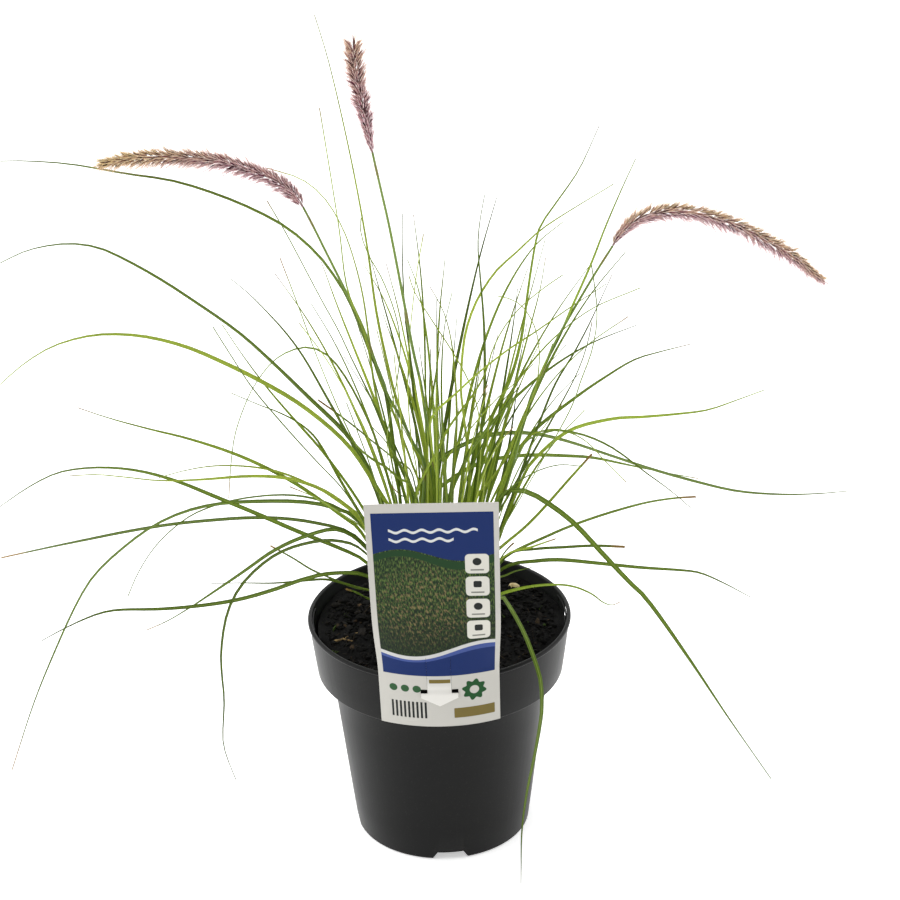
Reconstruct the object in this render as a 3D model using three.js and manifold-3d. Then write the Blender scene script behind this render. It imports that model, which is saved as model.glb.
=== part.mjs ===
// Potted swamp foxtail grass: a tussock of arching blades and three bottle-brush flower heads,
// growing in a dark nursery pot with a printed plastic tag on its collar.
// Millimetres, +Z up. The origin is the centre of the pot's flat underside, the tag faces -Y.
import * as THREE from 'three';
import { mergeVertices } from 'three/addons/utils/BufferGeometryUtils.js';
import Module from 'manifold-3d';

const wasm = await Module();
wasm.setup();

// Pot
const pot_height = 168;
const rim_radius = 94.2;
const collar_foot_radius = 88.5;
const collar_foot_z = 126.6;
const shoulder_radius = 77.9;
const foot_radius = 63.4;
const wall = 2;
const rim_bead = 3;
const pot_sides = 44;
const pot_turn = 4.5;
const slot_width = 19;
const slot_low = 155.5;
const slot_high = 166.9;
const slot_drop = 2;
const notch_count = 4;
const notch_foot_width = 26;
const notch_top_width = 17.5;
const notch_height = 7;
const notch_depth = 14;

// Potting mix
const gap = 0.35;
const mix_wall_z = 159.5;
const mix_mound = 4;
const mix_lump = 1.1;
const mix_reach = 88;
const mix_shrink = 3;
const mix_rings = 6;
const mix_spokes = 26;

// What lies on the mix, with its place in the picture
const pebble_size = [8.5, 6.5, 5];
const pebble_pixel = [514, 584];
const twig_radius = 0.9;
const twig_pixels = [[334, 640], [343, 637.5], [351, 634], [360, 632]];
const twig_fork_pixels = [[343, 637.5], [347, 639], [353, 640]];

// Plant tag
const tag_top_width = 88.2;
const tag_foot_width = 85.2;
const tag_foot_z = 127.9;
const tag_top_z = 312.4;
const tag_thick = 0.8;
const tag_top_shift = -3.2;
const tag_foot_shift = 0.2;
const tag_flat_from = 235;
const tag_back_gap = 0.7;
const tag_columns = 10;
const tongue_width = 17;
const tongue_barb = 26.5;
const tongue_hinge_z = 187;
const tongue_barb_z = 157.2;
const tongue_shoulder_z = 153.6;
const tongue_tip_z = 146.2;
const tongue_slip = 2.6;
const tongue_proud = 0.75;
const tongue_side_gap = 0.4;

// Tussock
const crown_y = 4;
const root_rings = [{ radius: 0, count: 1 }, { radius: 9.6, count: 6 },
  { radius: 19.2, count: 12 }, { radius: 28.6, count: 18 }];
const root_foot_z = 141;
const stub_radius = 2.6;
const stem_foot_z = 166;
const foot_out = 0.6;
const stub_top_z = 186;
const culm_stub_top_z = 174;
const blades_per_tiller = 4;
const blade_tip = 0.7;
const blade_clear = 0.35;
const culm_radius = 1.35;
const segment_length = 42;
const most_segments = 12;
const stem_rise = 14;
const culm_rise = 16;
const culm_ring = 19;

// How a leaf that was read in the picture finds its root. The low ones grow from the outer ring.
const low_pixel = 500;
const low_ring = 28;
const high_ring = 17;
const crowd_first = 5;
const crowd_more = 3;
const plant_tries = 6;
const plant_turn = 9;

// How a leaf is bent clear of its neighbours, the pot and the tag.
const turn_step = 2.2;
const turn_tries = 21;
const rim_clear = 1.2;
const leaf_low_z = 2.5;
const root_near = 12;
const step_shares = [0.15, 0.3, 0.45, 0.6, 0.75, 0.9, 1];

// Flower heads
const head_core = 2.7;
const spikelet_count = 72;
const spikelet_length = 8.2;
const spikelet_width = 2.1;

const radians = (degrees) => degrees * Math.PI / 180;
const mix = (a, b, t) => a + (b - a) * t;
const clamp = (x, low, high) => Math.min(high, Math.max(low, x));
const smoothstep = (x, low, high) => {
  const t = clamp((x - low) / (high - low), 0, 1);
  return t * t * (3 - 2 * t);
};

// One repeatable stream of numbers from 0 to 1.
function seeded(seed) {
  let state = seed;
  return () => {
    state = state * 16807 % 2147483647;
    return state / 2147483647;
  };
}

// Solids from closed geometries, and back.
function solid(geometry) {
  const bare = geometry.clone();
  bare.deleteAttribute('normal');
  bare.deleteAttribute('uv');
  const merged = mergeVertices(bare, 1e-4);
  return new wasm.Manifold(new wasm.Mesh({
    numProp: 3,
    vertProperties: new Float32Array(merged.attributes.position.array),
    triVerts: new Uint32Array(merged.index.array),
  }));
}

function geometry_of(body) {
  const mesh = body.getMesh();
  const geometry = new THREE.BufferGeometry();
  geometry.setAttribute('position', new THREE.BufferAttribute(mesh.vertProperties, 3));
  geometry.setIndex(new THREE.BufferAttribute(mesh.triVerts, 1));
  return geometry;
}

function fused(bodies) {
  return bodies.reduce((sum, body) => sum.add(body));
}

// A closed skin over a row of rings, each with the same number of points.
function loft(rings) {
  const around = rings[0].length;
  const positions = rings.flat().flatMap((p) => [p.x, p.y, p.z]);
  const index = [];
  for (let i = 0; i + 1 < rings.length; i += 1) {
    for (let j = 0; j < around; j += 1) {
      const a = i * around + j;
      const b = i * around + (j + 1) % around;
      index.push(a, b, b + around, a, b + around, a + around);
    }
  }
  const last = (rings.length - 1) * around;
  for (let j = 1; j + 1 < around; j += 1) {
    index.push(0, j + 1, j);
    index.push(last, last + j, last + j + 1);
  }
  const geometry = new THREE.BufferGeometry();
  geometry.setAttribute('position', new THREE.Float32BufferAttribute(positions, 3));
  geometry.setIndex(index);
  return geometry;
}

// A three-sided spike from a ring of three points to its point.
function spike([a, b, c], tip) {
  const geometry = new THREE.BufferGeometry();
  geometry.setAttribute('position', new THREE.Float32BufferAttribute([a, b, c, tip]
    .flatMap((p) => [p.x, p.y, p.z]), 3));
  geometry.setIndex([0, 2, 1, 0, 1, 3, 1, 2, 3, 2, 0, 3]);
  return geometry;
}

function upright_prism(x, y, low, high, radius_low, radius_high, sides = 5) {
  const ring = (z, radius) => Array.from({ length: sides }, (_, j) => {
    const angle = 2 * Math.PI * j / sides;
    return new THREE.Vector3(x + radius * Math.cos(angle), y + radius * Math.sin(angle), z);
  });
  return loft([ring(low, radius_low), ring(high, radius_high)]);
}

// The view that the leaves were read in: a lens this far in front of the pot and this high,
// looking down. A point of the picture and a plane through the root give one place in space.
const eye = new THREE.Vector3(9.8, -1588, 1043);
const eye_down = radians(25.18);
const eye_roll = radians(-1.04);
const eye_focal = 2526;
const picture_centre = 450;
const eye_ahead = new THREE.Vector3(0, Math.cos(eye_down), -Math.sin(eye_down));
const level = new THREE.Vector3(1, 0, 0);
const upward = new THREE.Vector3(0, Math.sin(eye_down), Math.cos(eye_down));
const eye_right = level.clone().multiplyScalar(Math.cos(eye_roll))
  .addScaledVector(upward, Math.sin(eye_roll));
const eye_up = level.clone().multiplyScalar(-Math.sin(eye_roll))
  .addScaledVector(upward, Math.cos(eye_roll));

function place_in_plane([px, py], root, heading) {
  const ray = eye_ahead.clone().multiplyScalar(eye_focal)
    .addScaledVector(eye_right, px - picture_centre)
    .addScaledVector(eye_up, picture_centre - py);
  const across = new THREE.Vector3(-Math.sin(heading), Math.cos(heading), 0);
  const start = new THREE.Vector3(root.x, root.y, 0).sub(eye);
  return eye.clone().addScaledVector(ray, start.dot(across) / ray.dot(across));
}

// The place on a level plane that shows at a point of the picture.
function place_at_level([px, py], z) {
  const ray = eye_ahead.clone().multiplyScalar(eye_focal)
    .addScaledVector(eye_right, px - picture_centre)
    .addScaledVector(eye_up, picture_centre - py);
  return eye.clone().addScaledVector(ray, (z - eye.z) / ray.z);
}

// Culms and their heads, read in the picture from the crown up to the head and on to its tip.
const culms = [
  { heading: 183, root_turn: 183,
    stem: [[425, 471], [412, 441], [400, 416], [388, 396], [375, 361], [364, 330], [352, 304], [328, 256],
      [302.8, 206.7]],
    head: [[292, 193], [275, 180], [250, 170.5], [220, 161.5], [190, 158], [160, 157], [130, 159],
      [105, 163.5], [93, 167]],
    leaf: { width: 3.4, via: [[0, 161], [29, 161], [72, 164.5], [126, 174], [172, 181],
      [215, 194], [253, 209.5], [287, 228], [316, 253], [334, 276], [348, 299], [361, 330], [373, 361],
      [386, 396]] } },
  { heading: 232, root_turn: 232,
    stem: [[440, 496], [433, 460], [426.5, 422], [421, 385], [413, 350], [403.3, 298.5], [390, 230],
      [381, 190], [372.3, 152]],
    head: [[366, 122], [359, 90], [354, 60], [353, 35]],
    leaf: { width: 2.6, cut: true, via: [[414, 352], [421, 392], [428, 440]] } },
  { heading: 8, root_turn: 8,
    stem: [[505, 490], [530, 400], [541, 375], [556, 341], [570.5, 315], [594.8, 274], [613, 245.4]],
    head: [[620, 234], [636, 220], [655, 213], [680, 211.5], [705, 215.5], [735, 225],
      [765, 240], [795, 258], [812, 272], [828, 284]],
    leaf: { width: 3.2, via: [[636, 159], [622, 189], [605, 228], [591, 264], [573, 305], [560, 336],
      [540, 377], [515, 450]] } },
];

// Leaves read in the picture, from the tip down to where they sink into the tussock.
// heading is the way the leaf leans in plan, root_turn the side of the crown it grows from.
const traced_leaves = [
  { heading: 172, width: 3.5, via: [[0, 263], [29, 250], [66, 244], [98, 248], [129, 262], [161, 280],
    [192, 300], [238, 332], [275, 365], [310, 399], [344, 432], [362, 457], [374, 482]] },
  { heading: 148, width: 2.1, via: [[314, 15], [327, 57], [342, 118], [356, 184], [367, 247],
    [376.5, 315], [391, 380], [399, 407], [408, 432], [418, 455], [427, 480]] },
  { heading: 198, width: 2.2, via: [[319.5, 108], [330, 172], [339, 230], [347, 289], [366, 338],
    [376, 396], [381, 416], [387, 440], [393, 470], [399, 501]] },
  { heading: 162, width: 1.9, via: [[267, 168], [301, 179], [324, 198], [341.6, 227], [353, 258],
    [363, 298], [371, 350], [380, 380], [393, 412], [402, 437], [411, 462], [421, 501]] },
  { heading: 208, width: 2.1, via: [[267, 201], [287, 235], [321.5, 300], [338, 330], [351, 358],
    [371, 399], [380, 420], [392, 449], [405, 478], [413, 501]] },
  { heading: 222, root_turn: 250, width: 1.9, via: [[280, 258], [296, 300], [314, 349], [334, 399],
    [345, 424], [356, 445], [372, 459], [386, 467], [398, 478], [414, 492]] },
  { heading: 158, width: 2.4, via: [[231, 279], [255, 300], [296, 346], [330, 403], [358, 455],
    [371, 480], [380, 503]] },
  { heading: 214, width: 1.9, via: [[361, 218], [361, 234], [369.5, 257], [382, 279], [394, 310],
    [400, 338], [399.5, 359], [397, 380], [392, 405], [388, 430], [387, 450], [391, 475]] },
  { heading: 132, width: 2.1, via: [[402.5, 214], [402, 242], [402.6, 276], [405, 315], [410, 353],
    [414, 397], [418, 420], [424, 450], [430, 480]] },
  { heading: 218, width: 1.8, via: [[423.4, 234], [417, 271], [411, 322], [408, 366], [408, 399],
    [411, 440], [417, 475]] },
  { heading: 200, root_turn: 20, width: 2.1, via: [[409, 276], [415, 293], [432, 321], [451, 350],
    [466, 376], [476, 402], [480, 430], [479, 470]] },
  { heading: 152, root_turn: 285, width: 2.1, via: [[429.6, 286.5], [442, 309], [450, 336], [455, 375],
    [457, 415], [455, 455], [452, 498]] },
  { heading: 30, width: 2.4, via: [[485, 195], [480, 222], [478, 246], [480, 276], [484, 327], [485, 380],
    [483, 415], [479, 450], [474, 498]] },
  { heading: 14, root_turn: 60, width: 2.4, via: [[613.6, 184], [565, 214], [540, 231], [515, 254],
    [498, 269], [482, 291], [471, 314], [464, 341], [461, 385], [464, 415], [468, 450], [469, 498]] },
  { heading: 34, width: 2.6, via: [[599, 126], [579, 169], [558, 200], [541, 225], [536, 242],
    [530, 279], [521, 341], [509, 382], [497, 405], [489, 424], [484, 445], [480, 468], [476, 498]] },
  { heading: 170, root_turn: 345, width: 1.8, via: [[498, 296], [512, 299.5], [522, 306], [531, 319],
    [537, 336], [539, 359], [535, 390], [527, 407], [518, 428], [509, 453], [498, 470], [486, 486],
    [476, 499]] },
  { heading: 350, root_turn: 215, width: 2.4, via: [[606, 284], [569, 308], [534, 333], [511, 348],
    [480, 372], [458, 392], [432, 417], [431, 440], [436, 470], [440, 499]] },
  { heading: 20, root_turn: 215, width: 1.9, via: [[563, 275], [544, 288], [522, 306], [505, 326],
    [493, 349], [486, 372], [474, 394], [461, 411], [447, 431], [437, 452], [426, 471], [416, 501]] },
  { heading: 328, width: 2.1, via: [[591.6, 265], [595, 289], [597, 308], [596, 330], [591, 354],
    [582, 378], [565, 420]] },
  { heading: 20, width: 2.2, via: [[612, 275], [597, 307], [588, 326], [574, 353], [549, 399]] },
  { heading: 338, width: 2.1, via: [[592, 322], [587, 345], [577, 373], [555, 415]] },
  { heading: 16, width: 2.9, via: [[690.5, 344], [659, 352], [634, 360], [605, 377.5], [579, 395],
    [542, 423], [525, 441], [513, 458], [503, 480]] },
  { heading: 342, width: 2.9, via: [[764, 390], [737, 400], [708, 410], [680, 414], [645, 417],
    [611, 419], [568, 431], [533, 461], [523, 478], [513, 502], [503, 528]] },
  { heading: 354, root_turn: 170, width: 3.5, via: [[850, 491], [817, 494], [780, 494.6], [737, 491],
    [694, 481], [651, 469], [608, 455], [565, 441], [530, 433.5], [496, 434], [473, 440], [450, 452],
    [437, 461], [425, 475], [414, 501]] },
  { heading: 22, root_turn: 140, width: 2.9, via: [[698, 478.5], [662, 472], [628, 465], [593, 458],
    [565, 456], [530, 455], [499, 458], [475, 465], [457, 475], [442, 486], [429, 501]] },
  { heading: 330, width: 2.4, via: [[690.5, 508], [668, 489], [645, 472], [622, 454], [602, 442],
    [576, 433], [548, 432], [518, 455]] },
  { heading: 26, width: 1.7, via: [[626, 482], [605, 461], [588, 443], [570, 433], [550, 430],
    [520, 447]] },
  { heading: 28, width: 2.4, cut: true, via: [[696, 497], [674, 498.6], [645, 503], [611, 512],
    [579, 523], [550, 535], [504, 557]] },
  { heading: 344, width: 2.6, cut: true, via: [[625, 547], [593, 546], [565, 547], [536, 549],
    [507, 556]] },
  { heading: 318, width: 2.2, cut: true, via: [[555.6, 539], [533, 547], [504, 557]] },
  { heading: 4, width: 2.9, via: [[750, 597], [723, 583], [700, 573], [680, 570], [637, 567],
    [593, 563], [559, 560], [536, 561], [507, 566]] },
  { heading: 332, width: 3.7, via: [[771, 779], [730, 720], [690, 660], [647, 600], [628, 581],
    [602, 553], [573, 522], [545, 501], [525, 491], [507, 492], [492, 512]] },
  { heading: 36, width: 2.6, cut: true, via: [[592, 454], [576, 472], [550, 501], [525, 527],
    [504, 545]] },
  { heading: 300, width: 2.9, via: [[520.7, 884], [521, 867], [522, 832], [527, 793], [534, 758],
    [540.8, 717], [541.6, 698], [540, 678], [533, 655], [524, 632], [512, 610], [501, 597]] },
  { heading: 322, width: 2.4, via: [[620, 602], [612, 605], [603, 602], [592, 594], [574, 587],
    [554, 585], [528, 587], [501, 594]] },
  { heading: 52, width: 2, via: [[533, 567], [516, 571], [501, 577]] },
  { heading: 174, width: 3.5, via: [[0, 385], [23, 365], [52, 347], [86, 336.5], [115, 334], [149, 337],
    [187, 347], [224, 363], [258, 380], [296, 402], [330, 428], [352, 450], [367, 472], [380, 493],
    [390, 510]] },
  { heading: 190, width: 2.8, via: [[77.5, 408], [109, 418.5], [149, 429], [187, 438], [230, 452],
    [266, 468], [302, 488], [342, 516], [361, 532]] },
  { heading: 176, width: 3.1, via: [[0, 507], [29, 487], [57, 473], [86, 468], [115, 468], [143.5, 472],
    [178, 482], [218, 498], [258, 514], [301, 532.5], [339, 548], [366, 562]] },
  { heading: 204, width: 2.6, via: [[69, 476], [95, 474.5], [123, 477], [161, 481], [201, 480],
    [244, 476.5], [273, 476.5], [296, 480], [321, 489], [344, 504], [364, 524]] },
  { heading: 168, width: 2.9, cut: true, via: [[1, 558], [43, 549], [86, 540], [129, 531], [172, 524],
    [215, 520], [253, 518], [287, 519], [316, 523], [347, 531], [366, 546]] },
  { heading: 200, width: 3.3, via: [[12, 770], [35, 700], [60, 640], [79, 600], [95, 575], [121, 550],
    [152, 527], [184, 512], [218, 504], [258, 501.5], [301, 502], [330, 507], [362, 522]] },
  { heading: 164, width: 1.7, via: [[128, 596], [138, 573], [155, 547], [178, 525], [201, 511],
    [240, 499], [290, 495], [330, 504], [362, 526]] },
  { heading: 186, width: 2.9, via: [[147, 630], [168, 621], [190, 608], [202, 600], [244, 571],
    [275, 550], [310, 535], [339, 530], [366, 548]] },
  { heading: 224, width: 2.4, via: [[236, 780], [228, 760], [223, 740], [224.5, 700], [222, 672],
    [221.5, 650], [226, 618], [235, 595], [250, 575], [275, 555], [304, 544], [336, 541], [364, 552]] },
  { heading: 176, width: 1.8, via: [[211, 584], [244, 583], [275, 583], [304, 581], [330, 580],
    [369, 590]] },
  { heading: 196, width: 3.1, via: [[42, 641], [60, 631], [80, 621], [100, 613], [120, 609.5],
    [160, 609], [200, 606], [238, 600], [273, 590], [301, 580], [330, 573.5], [367, 576]] },
  { heading: 142, width: 1.8, cut: true, via: [[270, 546], [293, 558], [319, 573], [367, 590]] },
  { heading: 150, width: 1.6, via: [[229, 498], [230.5, 472], [235, 435], [247, 400], [258, 380],
    [275, 360], [296, 349], [313, 348], [330, 357], [347, 379], [363, 409], [374, 435], [382, 462],
    [390, 483], [397, 502]] },
  { heading: 216, width: 2.4, via: [[213, 327], [230, 354], [253, 389], [284, 426], [316, 461],
    [344, 491], [368, 530]] },
  { heading: 152, width: 2.2, via: [[222, 325], [240, 352], [265, 385], [295, 420], [325, 455],
    [364, 510]] },
  { heading: 164, width: 2.2, via: [[231, 393], [261, 406], [277, 412], [300, 424], [318, 441],
    [342, 483], [364, 520]] },
  { heading: 182, width: 2, via: [[159, 478], [184, 471], [212, 466], [244, 466], [275, 471],
    [304, 482], [330, 496], [362, 524]] },
  { heading: 230, width: 2.2, cut: true, via: [[290, 487], [312, 496], [328, 505], [348, 518],
    [365, 532]] },
  { heading: 200, width: 2.2, cut: true, via: [[346, 589.5], [358, 593], [372, 600]] },
  { heading: 326, width: 2.2, cut: true, via: [[514, 543], [508, 549], [500, 560]] },
  { heading: 8, root_turn: 230, width: 1.8, via: [[533, 364], [513, 385], [500, 396], [484, 413],
    [464, 437], [450, 454], [441, 478]] },
  { heading: 22, root_turn: 20, width: 2.1, via: [[527, 322], [522, 350], [515, 383], [510, 403],
    [504, 430], [497, 460], [490, 492]] },
  { heading: 172, width: 1.8, cut: true, via: [[318, 400], [340, 416], [357, 429], [373, 442],
    [393, 458], [413, 477]] },
  { heading: 196, root_turn: 236, width: 1.6, cut: true, via: [[392, 487], [400, 495], [408, 503]] },
];

// Places of the shoots: rings round the crown, each a little off its even spacing.
const draw_root = seeded(20251);
const roots = root_rings.flatMap(({ radius, count }, ring) => Array.from({ length: count }, (_, k) => {
  const turn = 2 * Math.PI * (k + 0.5 * (ring % 2)) / count + 0.06 * (draw_root() - 0.5);
  const out = radius + 1.4 * (draw_root() - 0.5);
  return { x: out * Math.cos(turn), y: crown_y + out * Math.sin(turn), turn, radius, leaves: [] };
}));

// The free root that lies nearest to a place on the crown, with few leaves of its own so far.
function nearest_root(turn, ring, crowding) {
  const x = ring * Math.cos(turn);
  const y = crown_y + ring * Math.sin(turn);
  let best = null;
  let best_cost = Infinity;
  for (const root of roots) {
    const cost = Math.hypot(root.x - x, root.y - y) + crowding * root.leaves.length;
    if (!root.culm && root.leaves.length < blades_per_tiller + 1 && cost < best_cost) {
      best = root;
      best_cost = cost;
    }
  }
  return best;
}

// Smooth path through points, by chord lengths, and its even division.
const path_steps = 8;

function smooth_path(points) {
  const knots = [0];
  for (let i = 1; i < points.length; i += 1) {
    knots.push(knots[i - 1] + Math.sqrt(points[i].distanceTo(points[i - 1])));
  }
  const slope = points.map((p, i) => {
    const a = Math.max(0, i - 1);
    const b = Math.min(points.length - 1, i + 1);
    return points[b].clone().sub(points[a]).divideScalar(knots[b] - knots[a]);
  });
  const path = [points[0].clone()];
  for (let i = 0; i + 1 < points.length; i += 1) {
    const span = knots[i + 1] - knots[i];
    for (let k = 1; k <= path_steps; k += 1) {
      const t = k / path_steps;
      const t2 = t * t;
      const t3 = t2 * t;
      path.push(points[i].clone().multiplyScalar(2 * t3 - 3 * t2 + 1)
        .addScaledVector(slope[i], (t3 - 2 * t2 + t) * span)
        .addScaledVector(points[i + 1], 3 * t2 - 2 * t3)
        .addScaledVector(slope[i + 1], (t3 - t2) * span));
    }
  }
  return path;
}

function path_length(path) {
  let length = 0;
  for (let i = 1; i < path.length; i += 1) {
    length += path[i].distanceTo(path[i - 1]);
  }
  return length;
}

function divide(path, count) {
  const total = path_length(path);
  const result = [path[0].clone()];
  let walked = 0;
  let i = 1;
  for (let k = 1; k < count; k += 1) {
    const goal = total * k / count;
    while (i < path.length - 1 && walked + path[i].distanceTo(path[i - 1]) < goal) {
      walked += path[i].distanceTo(path[i - 1]);
      i += 1;
    }
    const step = path[i].distanceTo(path[i - 1]);
    result.push(path[i - 1].clone().lerp(path[i], (goal - walked) / step));
  }
  result.push(path[path.length - 1].clone());
  return result;
}

// A leaf has more cross-sections the longer it is.
function segment_count(path) {
  return clamp(Math.round(path_length(path) / segment_length), 4, most_segments);
}

// Leaf outline: a narrow foot, the full width at a third of the length, then a long fine point.
function blade_width(leaf, t) {
  const swell = mix(0.6, 1, smoothstep(t, 0, 0.35));
  const taper = leaf.cut ? 1 - 0.3 * t : Math.pow(1 - smoothstep(t, 0.35, 1.08), 0.6);
  return Math.max(blade_tip, leaf.width * swell * taper);
}

// Where a leaf goes: up out of its root, then through its read or drawn points in one upright plane.
function leaf_path(leaf, heading) {
  const { root } = leaf;
  const swept = (t) => heading + radians(leaf.sweep) * t * t;
  const lean = new THREE.Vector3(Math.cos(heading), Math.sin(heading), 0);
  const foot = new THREE.Vector3(root.x, root.y, stem_foot_z).addScaledVector(lean, foot_out);
  const points = [foot.clone(), foot.clone().add(new THREE.Vector3(0, 0, stem_rise))];
  if (leaf.via) {
    const last = leaf.via.length - 1;
    for (let i = last; i >= 0; i -= 1) {
      points.push(place_in_plane(leaf.via[i], root, swept(1 - i / (last + 1))));
    }
  } else {
    const steps = 7;
    let place = points[1].clone();
    for (let k = 1; k <= steps; k += 1) {
      const t = (k - 0.5) / steps;
      const bend = radians(mix(leaf.start_lean, leaf.end_lean, Math.pow(t, leaf.droop)));
      lean.set(Math.cos(swept(t)), Math.sin(swept(t)), 0);
      place = place.clone().addScaledVector(lean, Math.sin(bend) * leaf.length / steps);
      place.z += Math.cos(bend) * leaf.length / steps;
      points.push(place);
    }
  }
  return smooth_path(points);
}

function leaf_rings(leaf) {
  const path = leaf_path(leaf, leaf.turned);
  const count = segment_count(path);
  const places = divide(path, count);
  return places.map((place, i) => {
    const t = i / count;
    const turn = leaf.turned + radians(leaf.sweep) * t * t;
    const ahead = places[Math.min(count, i + 1)].clone().sub(places[Math.max(0, i - 1)]).normalize();
    const over = ahead.clone().cross(new THREE.Vector3(-Math.sin(turn), Math.cos(turn), 0)).normalize();
    const flank = over.clone().cross(ahead);
    const roll = radians(mix(leaf.foot_roll, leaf.tip_roll, t));
    const across = flank.clone().multiplyScalar(Math.cos(roll)).addScaledVector(over, Math.sin(roll));
    const face = flank.clone().multiplyScalar(-Math.sin(roll)).addScaledVector(over, Math.cos(roll));
    const width = blade_width(leaf, t);
    const keel = Math.max(0.65, 0.3 * width);
    return [
      place.clone().addScaledVector(across, width / 2).addScaledVector(face, keel * 0.3),
      place.clone().addScaledVector(across, -width / 2).addScaledVector(face, keel * 0.3),
      place.clone().addScaledVector(face, -keel * 0.7),
    ];
  });
}

// Least distance between two straight steps.
function step_distance(p1, q1, p2, q2) {
  const d1 = q1.clone().sub(p1);
  const d2 = q2.clone().sub(p2);
  const r = p1.clone().sub(p2);
  const a = d1.dot(d1);
  const e = d2.dot(d2);
  const f = d2.dot(r);
  const c = d1.dot(r);
  const b = d1.dot(d2);
  const denominator = a * e - b * b;
  let s = denominator > 1e-9 ? clamp((b * f - c * e) / denominator, 0, 1) : 0;
  const t = clamp((b * s + f) / e, 0, 1);
  s = clamp((b * t - c) / a, 0, 1);
  return p1.clone().addScaledVector(d1, s).distanceTo(p2.clone().addScaledVector(d2, t));
}

// What has grown so far, as thick straight steps, so that a new leaf can be bent clear of it.
const grown = [];

function thick_steps(path, count, half_width, owner) {
  const places = divide(path, count);
  return places.slice(1).map((place, i) => ({
    from: places[i], to: place, half: Math.max(half_width(i / count), half_width((i + 1) / count)), owner,
    middle: places[i].clone().add(place).multiplyScalar(0.5), reach: places[i].distanceTo(place) / 2,
  }));
}

function worst_overlap(steps) {
  let worst = -Infinity;
  for (const step of steps) {
    for (const share of step_shares) {
      const place = step.from.clone().lerp(step.to, share);
      if (Math.hypot(place.x - step.owner.x, place.y - step.owner.y) > root_near) {
        worst = Math.max(worst, pot_overlap(place, step.half), tag_overlap(place, step.half),
          leaf_low_z - place.z);
      }
    }
    for (const other of grown) {
      const need = step.half + other.half + blade_clear;
      if (other.owner === step.owner
        || step.middle.distanceTo(other.middle) > step.reach + other.reach + need) {
        continue;
      }
      worst = Math.max(worst, need - step_distance(step.from, step.to, other.from, other.to));
    }
  }
  return worst;
}

// How far a point of a leaf reaches into the pot's wall or the tag, if it does.
function pot_overlap(place, half) {
  const out = Math.hypot(place.x, place.y);
  if (place.z > pot_height + half + rim_clear) {
    return -Infinity;
  }
  if (out < rim_radius - rim_bead - half - 2) {
    return mix_wall_z + mix_mound * (1 - (out / mix_reach) ** 2) + 2 - place.z;
  }
  const outer = place.z > collar_foot_z - half - 2 ? rim_radius
    : mix(foot_radius, shoulder_radius, Math.max(0, place.z) / collar_foot_z);
  return outer + half + rim_clear - out;
}

function tag_overlap(place, half) {
  if (place.z > tag_top_z + half + rim_clear || place.z < tag_foot_z - half
    || Math.abs(place.x - tag_top_shift / 2) > tag_top_width / 2 + half + rim_clear || place.y > 0) {
    return -Infinity;
  }
  return half + tag_thick + rim_clear - Math.abs(place.y - tag_place(place.x, place.z, tag_thick / 2).y);
}

// Turns a leaf about its root, a little more each time, until it clears all that grew before it.
function bend_clear(leaf) {
  let best = null;
  for (let k = 0; k < turn_tries; k += 1) {
    const turn = turn_step * Math.ceil(k / 2) * (k % 2 ? 1 : -1);
    const turned = radians(leaf.heading + turn);
    const path = leaf_path(leaf, turned);
    const steps = thick_steps(path, segment_count(path), (t) => 0.5 * blade_width(leaf, t), leaf.root);
    const overlap = worst_overlap(steps);
    if (best === null || overlap < best.overlap) {
      best = { overlap, turned, steps };
    }
    if (overlap <= 0) {
      break;
    }
  }
  return best;
}

function grow(leaf) {
  const best = bend_clear(leaf);
  if (best.overlap > 0) {
    return false;
  }
  leaf.turned = best.turned;
  leaf.root.leaves.push(leaf);
  grown.push(...best.steps);
  return true;
}

const draw = seeded(7041);
const group = new THREE.Group();

function roll_of(heading, foot, tip) {
  const side = Math.cos(radians(heading)) < 0 ? -1 : 1;
  return { foot_roll: side * foot, tip_roll: side * tip };
}

// The sheath of every shoot stands in the way of its neighbours' leaves.
for (const root of roots) {
  const low = new THREE.Vector3(root.x, root.y, root_foot_z);
  const high = new THREE.Vector3(root.x, root.y, stub_top_z);
  grown.push(...thick_steps([low, high], 1, () => stub_radius, root));
}

// Culms first: the stems are stiff, so leaves give way to them.
const culm_paths = culms.map((culm) => {
  const turn = radians(culm.root_turn);
  const root = nearest_root(turn, culm_ring, 0);
  root.culm = culm;
  culm.root = root;
  const heading = radians(culm.heading);
  const foot = new THREE.Vector3(root.x, root.y, stem_foot_z);
  const rise = new THREE.Vector3(root.x, root.y, stem_foot_z + culm_rise);
  const stem = [foot, rise, ...culm.stem.map((pixel) => place_in_plane(pixel, root, heading))];
  const head = culm.head.map((pixel) => place_in_plane(pixel, root, heading));
  const whole = smooth_path([...stem, ...head]);
  const neck = (stem.length - 1) * path_steps;
  const stem_path = whole.slice(0, neck + 1);
  const head_path = whole.slice(neck);
  grown.push(...thick_steps(stem_path, 18, () => culm_radius, root),
    ...thick_steps(head_path, 8, () => head_core + 0.55 * spikelet_length, culm));
  return { culm, stem_path, head_path };
});
for (const { culm } of culm_paths) {
  const { root, heading } = culm;
  grow({ ...culm.leaf, root, heading, sweep: 0, ...roll_of(heading, 50, 24) });
}

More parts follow.
